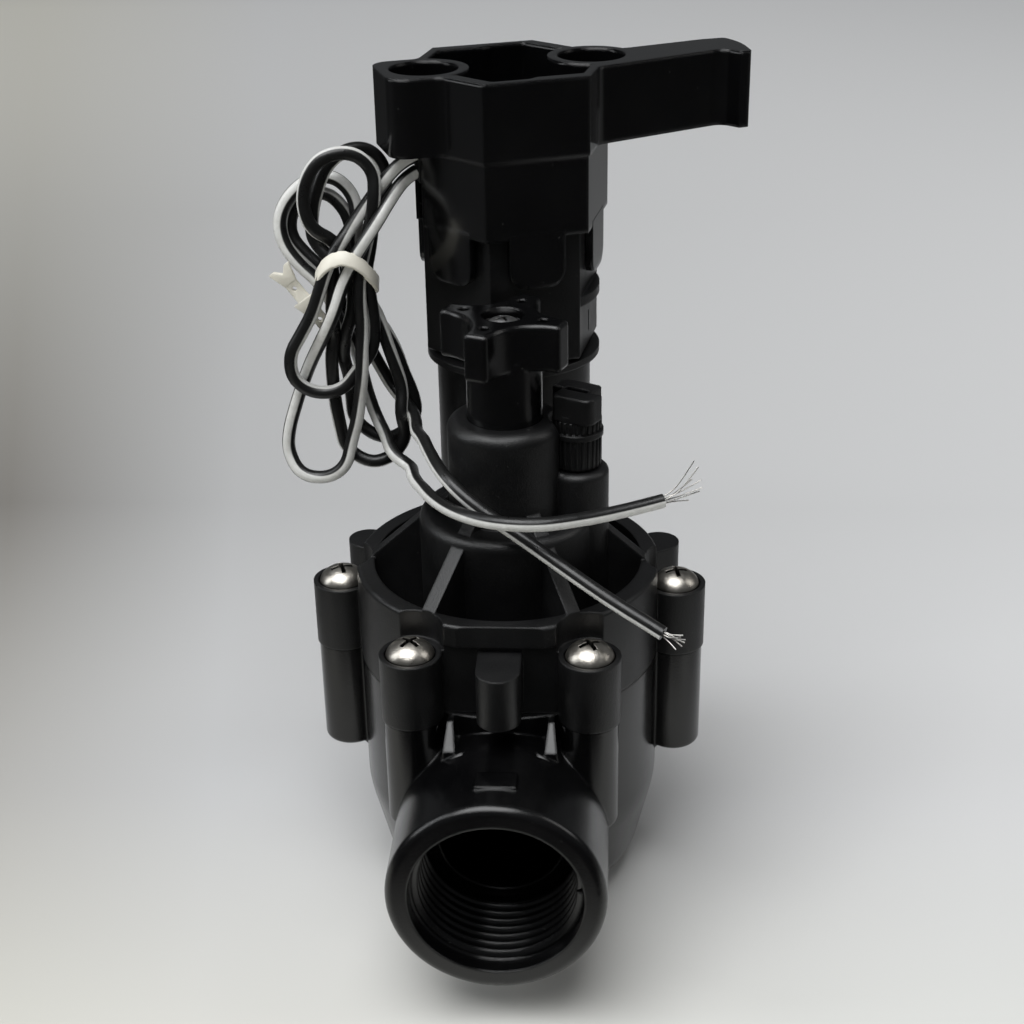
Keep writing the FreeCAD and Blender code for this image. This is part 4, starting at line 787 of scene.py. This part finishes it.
# %% twists
TURNS_A = [
    (0, -98), (4, -128), (6, -174), (9, -171), (12, -208), (16, -189), (22, -196), (24, -162),
    (27, -161), (29, -262), (31, -323), (37, -353), (39, -351), (41, -324), (48, -394), (53, -420),
    (65, -409), (67, -398), (68, -424), (69, -406), (75, -368), (82, -366),
]
TURNS_B = [
    (0, -127), (4, -102), (7, -69), (15, -78), (17, -45), (20, -29), (25, 24), (29, 29), (31, 44),
    (34, 36), (39, 61), (44, 31), (47, 65), (48, 66), (51, 22), (53, 13), (55, 19), (59, -5), (68, -7),
    (69, -25), (71, -5), (72, -13), (76, 4), (85, 5),
]
cover = insulation("lead_cover", stripe=(0.135, 0.365))
lead_a = run_lead("lead_a", LEAD_A, TURNS_A, cover)
lead_b = run_lead("lead_b", LEAD_B, TURNS_B, cover)
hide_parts("lead_exit_a", "lead_hank", "lead_tail_a")
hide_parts("lead_exit_b", "lead_hank", "lead_tail_b")

# %% [markdown]
# ## Bare ends
# Where the cover is stripped the strands fan out. Each is a thin bent wire: a short curve of four
# points that drifts off the lead's own direction, more so towards its tip. A curve gets its
# thickness from one number, and all of them are then joined into one mesh.

# %% bare ends
STRAND_RADIUS = 0.13
BUNDLE_RADIUS = 0.5
STRAND_SHARES = (-0.25, 0.2, 0.6, 1.0)


def strands(name, root, ahead, spreads):
    """Thin wires out of a lead's end, each (length, right, up) in millimetres, as one mesh."""
    side = ahead.cross(Vector((0, 0, 1))).normalized()
    over = side.cross(ahead).normalized()
    wires = []
    for i, (length, right, up) in enumerate(spreads):
        curve = bpy.data.curves.new("strand", "CURVE")
        curve.dimensions = "3D"
        curve.bevel_depth = STRAND_RADIUS * MM
        curve.bevel_resolution = 2
        curve.resolution_u = 5
        curve.use_fill_caps = True
        line = curve.splines.new("NURBS")
        line.points.add(len(STRAND_SHARES) - 1)
        for j, share in enumerate(STRAND_SHARES):
            drift = max(share, 0) ** 1.6
            at = root + ahead * (share * length * MM) + side * (right * drift * MM) + over * (up * drift * MM)
            at += side * (BUNDLE_RADIUS * MM * math.cos(i * 1.9))
            at += over * (BUNDLE_RADIUS * MM * math.sin(i * 1.9))
            line.points[j].co = (*at, 1)
        line.order_u = 3
        line.use_endpoint_u = True
        wire = bpy.data.objects.new("strand_%d" % i, curve)
        bpy.context.collection.objects.link(wire)
        wires.append(wire)
    clear()
    for wire in wires:
        wire.select_set(True)
    bpy.context.view_layer.objects.active = wires[0]
    bpy.ops.object.convert(target="MESH")
    return join(wires, name)


FAN_A = (
    (8, -1, 5), (7, 0.5, 6.5), (8, 1, 1.2), (7.5, -0.5, 0.2),
    (8, 0.2, 2), (6, 1.2, 3.4), (5, 0, -0.8),
)
FAN_B = (
    (4.5, 0, 2), (4, 1, 1), (4.2, -1, 0.2), (3.6, 0.6, 2.6),
    (4.4, 0.2, -0.4), (3.4, -0.6, 1.4), (3.8, 1, -0.2),
)
for name, points, fan in (("wires_a", LEAD_A, FAN_A), ("wires_b", LEAD_B, FAN_B)):
    last = Vector(points[-1]) * MM
    before = Vector(points[-2]) * MM
    made = strands(name, last, (last - before).normalized(), fan)
    fit(made, "solenoid", "copper", tinned_wire)

# %% [markdown]
# ## Studio
# The valve stands on a wide sheet of pale paper, whose colour is painted lighter and darker from
# front to back and from left to right: painted light falloff, with a painted shadow darkest on the
# left. Lights alone could do that, but they would also change the valve, so colour ramps along the
# sheet do it: one for the left, one for the middle and one for the right, blended by how far to the side a
# place lies as seen from a point in front.

# %% the sheet of paper
PAPER_SIDE = 9
bpy.ops.mesh.primitive_plane_add(size=1)
floor = bpy.context.object
floor.name = "floor"
floor.data.transform(Matrix.Diagonal((PAPER_SIDE, PAPER_SIDE, 1, 1)))
paper, net, shader = tree("paper")
shader.inputs["Roughness"].default_value = 0.7
shader.inputs["Specular IOR Level"].default_value = 0.2
coords = net.nodes.new("ShaderNodeTexCoord").outputs["Object"]
axes = net.nodes.new("ShaderNodeSeparateXYZ")
net.links.new(coords, axes.inputs["Vector"])
deep = spread(net, axes.outputs["Y"], -0.1, 1.1, 0, 1)
print("paper:", PAPER_SIDE, "m square")


# %% tools for its tone
STOPS = (0.03, 0.1, 0.23, 0.5, 0.97)


def along(*greys):
    """Painted light and shade on the paper from the front to the back; a grey is one number or a colour."""
    colours = [grey if isinstance(grey, tuple) else (grey,) * 3 for grey in greys]
    return ramp(net, deep, *zip(STOPS, colours))


def reckon(kind, first, second):
    """One step of arithmetic; a number is set on the socket."""
    made = net.nodes.new("ShaderNodeMath")
    made.operation = kind
    for socket, value in zip(made.inputs, (first, second)):
        if isinstance(value, (int, float)):
            socket.default_value = value
        else:
            net.links.new(value, socket)
    return made.outputs["Value"]


# %% the paper's painted light and shade
FAN_POINT = 0.42
FAR_LEFT = -0.29
NEAR_LEFT = -0.167
FAR_RIGHT = 0.25
reach = reckon("MAXIMUM", reckon("ADD", axes.outputs["Y"], FAN_POINT), 0.1)
side = reckon("DIVIDE", axes.outputs["X"], reach)
# Painted light and shade: each ramp is darker in a band across the sheet, the left one darkest there as a
# painted shadow, and lighter towards the back.
left = along(
    (0.58, 0.57, 0.52), (0.41, 0.4, 0.38), (0.19, 0.18, 0.165), (0.41, 0.4, 0.37), (0.85, 0.83, 0.75)
)
middle = along((0.64, 0.63, 0.59), 0.53, 0.42, 0.51, 0.88)
right = along((0.67, 0.67, 0.64), 0.69, 0.6, 0.73, 0.95)
left_half = blend(net, spread(net, side, FAR_LEFT, NEAR_LEFT, 0, 1), left, middle)
tone = blend(net, spread(net, side, NEAR_LEFT, FAR_RIGHT, 0, 1), left_half, right)
print("tone stops:", STOPS)

# %% [markdown]
# ## Painted dark reflections
# Glossy black plastic mirrors the paper round it and would look grey. In place of dark cards in
# front and at the sides, the paper's colour there is painted dark for mirror rays only, a painted
# dark reflection, so the view of the paper stays pale and nothing has to be hidden.

# %% painted dark reflections, where the mirror rays meet the paper
# The colour below is painted shade, seen only in the reflections of the paper in front and at the sides.
REFLECTED_SHADE = (0.02, 0.02, 0.02)
in_front = spread(net, axes.outputs["Y"], -0.075, -0.11, 0, 1)
at_left = spread(net, axes.outputs["X"], -0.12, -0.17, 0, 1)
at_right = spread(net, axes.outputs["X"], 0.1, 0.16, 0, 0.75)
dark = reckon("MAXIMUM", reckon("MAXIMUM", in_front, at_left), at_right)
mirrored = reckon("MULTIPLY", dark, net.nodes.new("ShaderNodeLightPath").outputs["Is Glossy Ray"])
net.links.new(blend(net, mirrored, tone, REFLECTED_SHADE), shader.inputs["Base Color"])
floor.data.materials.append(paper)
print("cards:", REFLECTED_SHADE)

# %% [markdown]
# ## Lights
# Soft light from a big sheet overhead draws the long highlights on the black plastic. A window
# on the left and a weaker one on the right lift the sides, and a faint room fills the shadows.
# Area lights do this with one size each, where small lamps would leave hard spots.

# %% the room
world = bpy.data.worlds.new("room")
bpy.context.scene.world = world
world.use_nodes = True
air = world.node_tree
air.nodes["Background"].inputs["Color"].default_value = (0.9, 0.93, 0.96, 1)
air.nodes["Background"].inputs["Strength"].default_value = 0.09
print("room strength:", round(air.nodes["Background"].inputs["Strength"].default_value, 3))


# %% lights
def softbox(name, place, aim, wide, high, power, colour):
    """A rectangular light aimed at a point."""
    lamp = bpy.data.lights.new(name, "AREA")
    lamp.shape = "RECTANGLE"
    lamp.size = wide
    lamp.size_y = high
    lamp.energy = power
    lamp.color = colour
    made = bpy.data.objects.new(name, lamp)
    bpy.context.collection.objects.link(made)
    made.location = place
    made.rotation_euler = (Vector(aim) - Vector(place)).to_track_quat("-Z", "Y").to_euler()
    print(name, power, "W,", wide, "x", high, "m")


softbox(
    "overhead", place=(-0.25, -0.35, 1.35), aim=(-0.05, 0.1, 0),
    wide=1.3, high=1.1, power=24, colour=(0.98, 0.99, 1),
)
softbox(
    "window", place=(-1.1, -0.1, 0.7), aim=(0, 0, 0.08),
    wide=0.4, high=0.8, power=4, colour=(0.95, 0.98, 1),
)
softbox(
    "side", place=(1.2, 0.1, 0.9), aim=(0, 0, 0.08),
    wide=0.5, high=0.8, power=2.5, colour=(1, 0.99, 0.97),
)
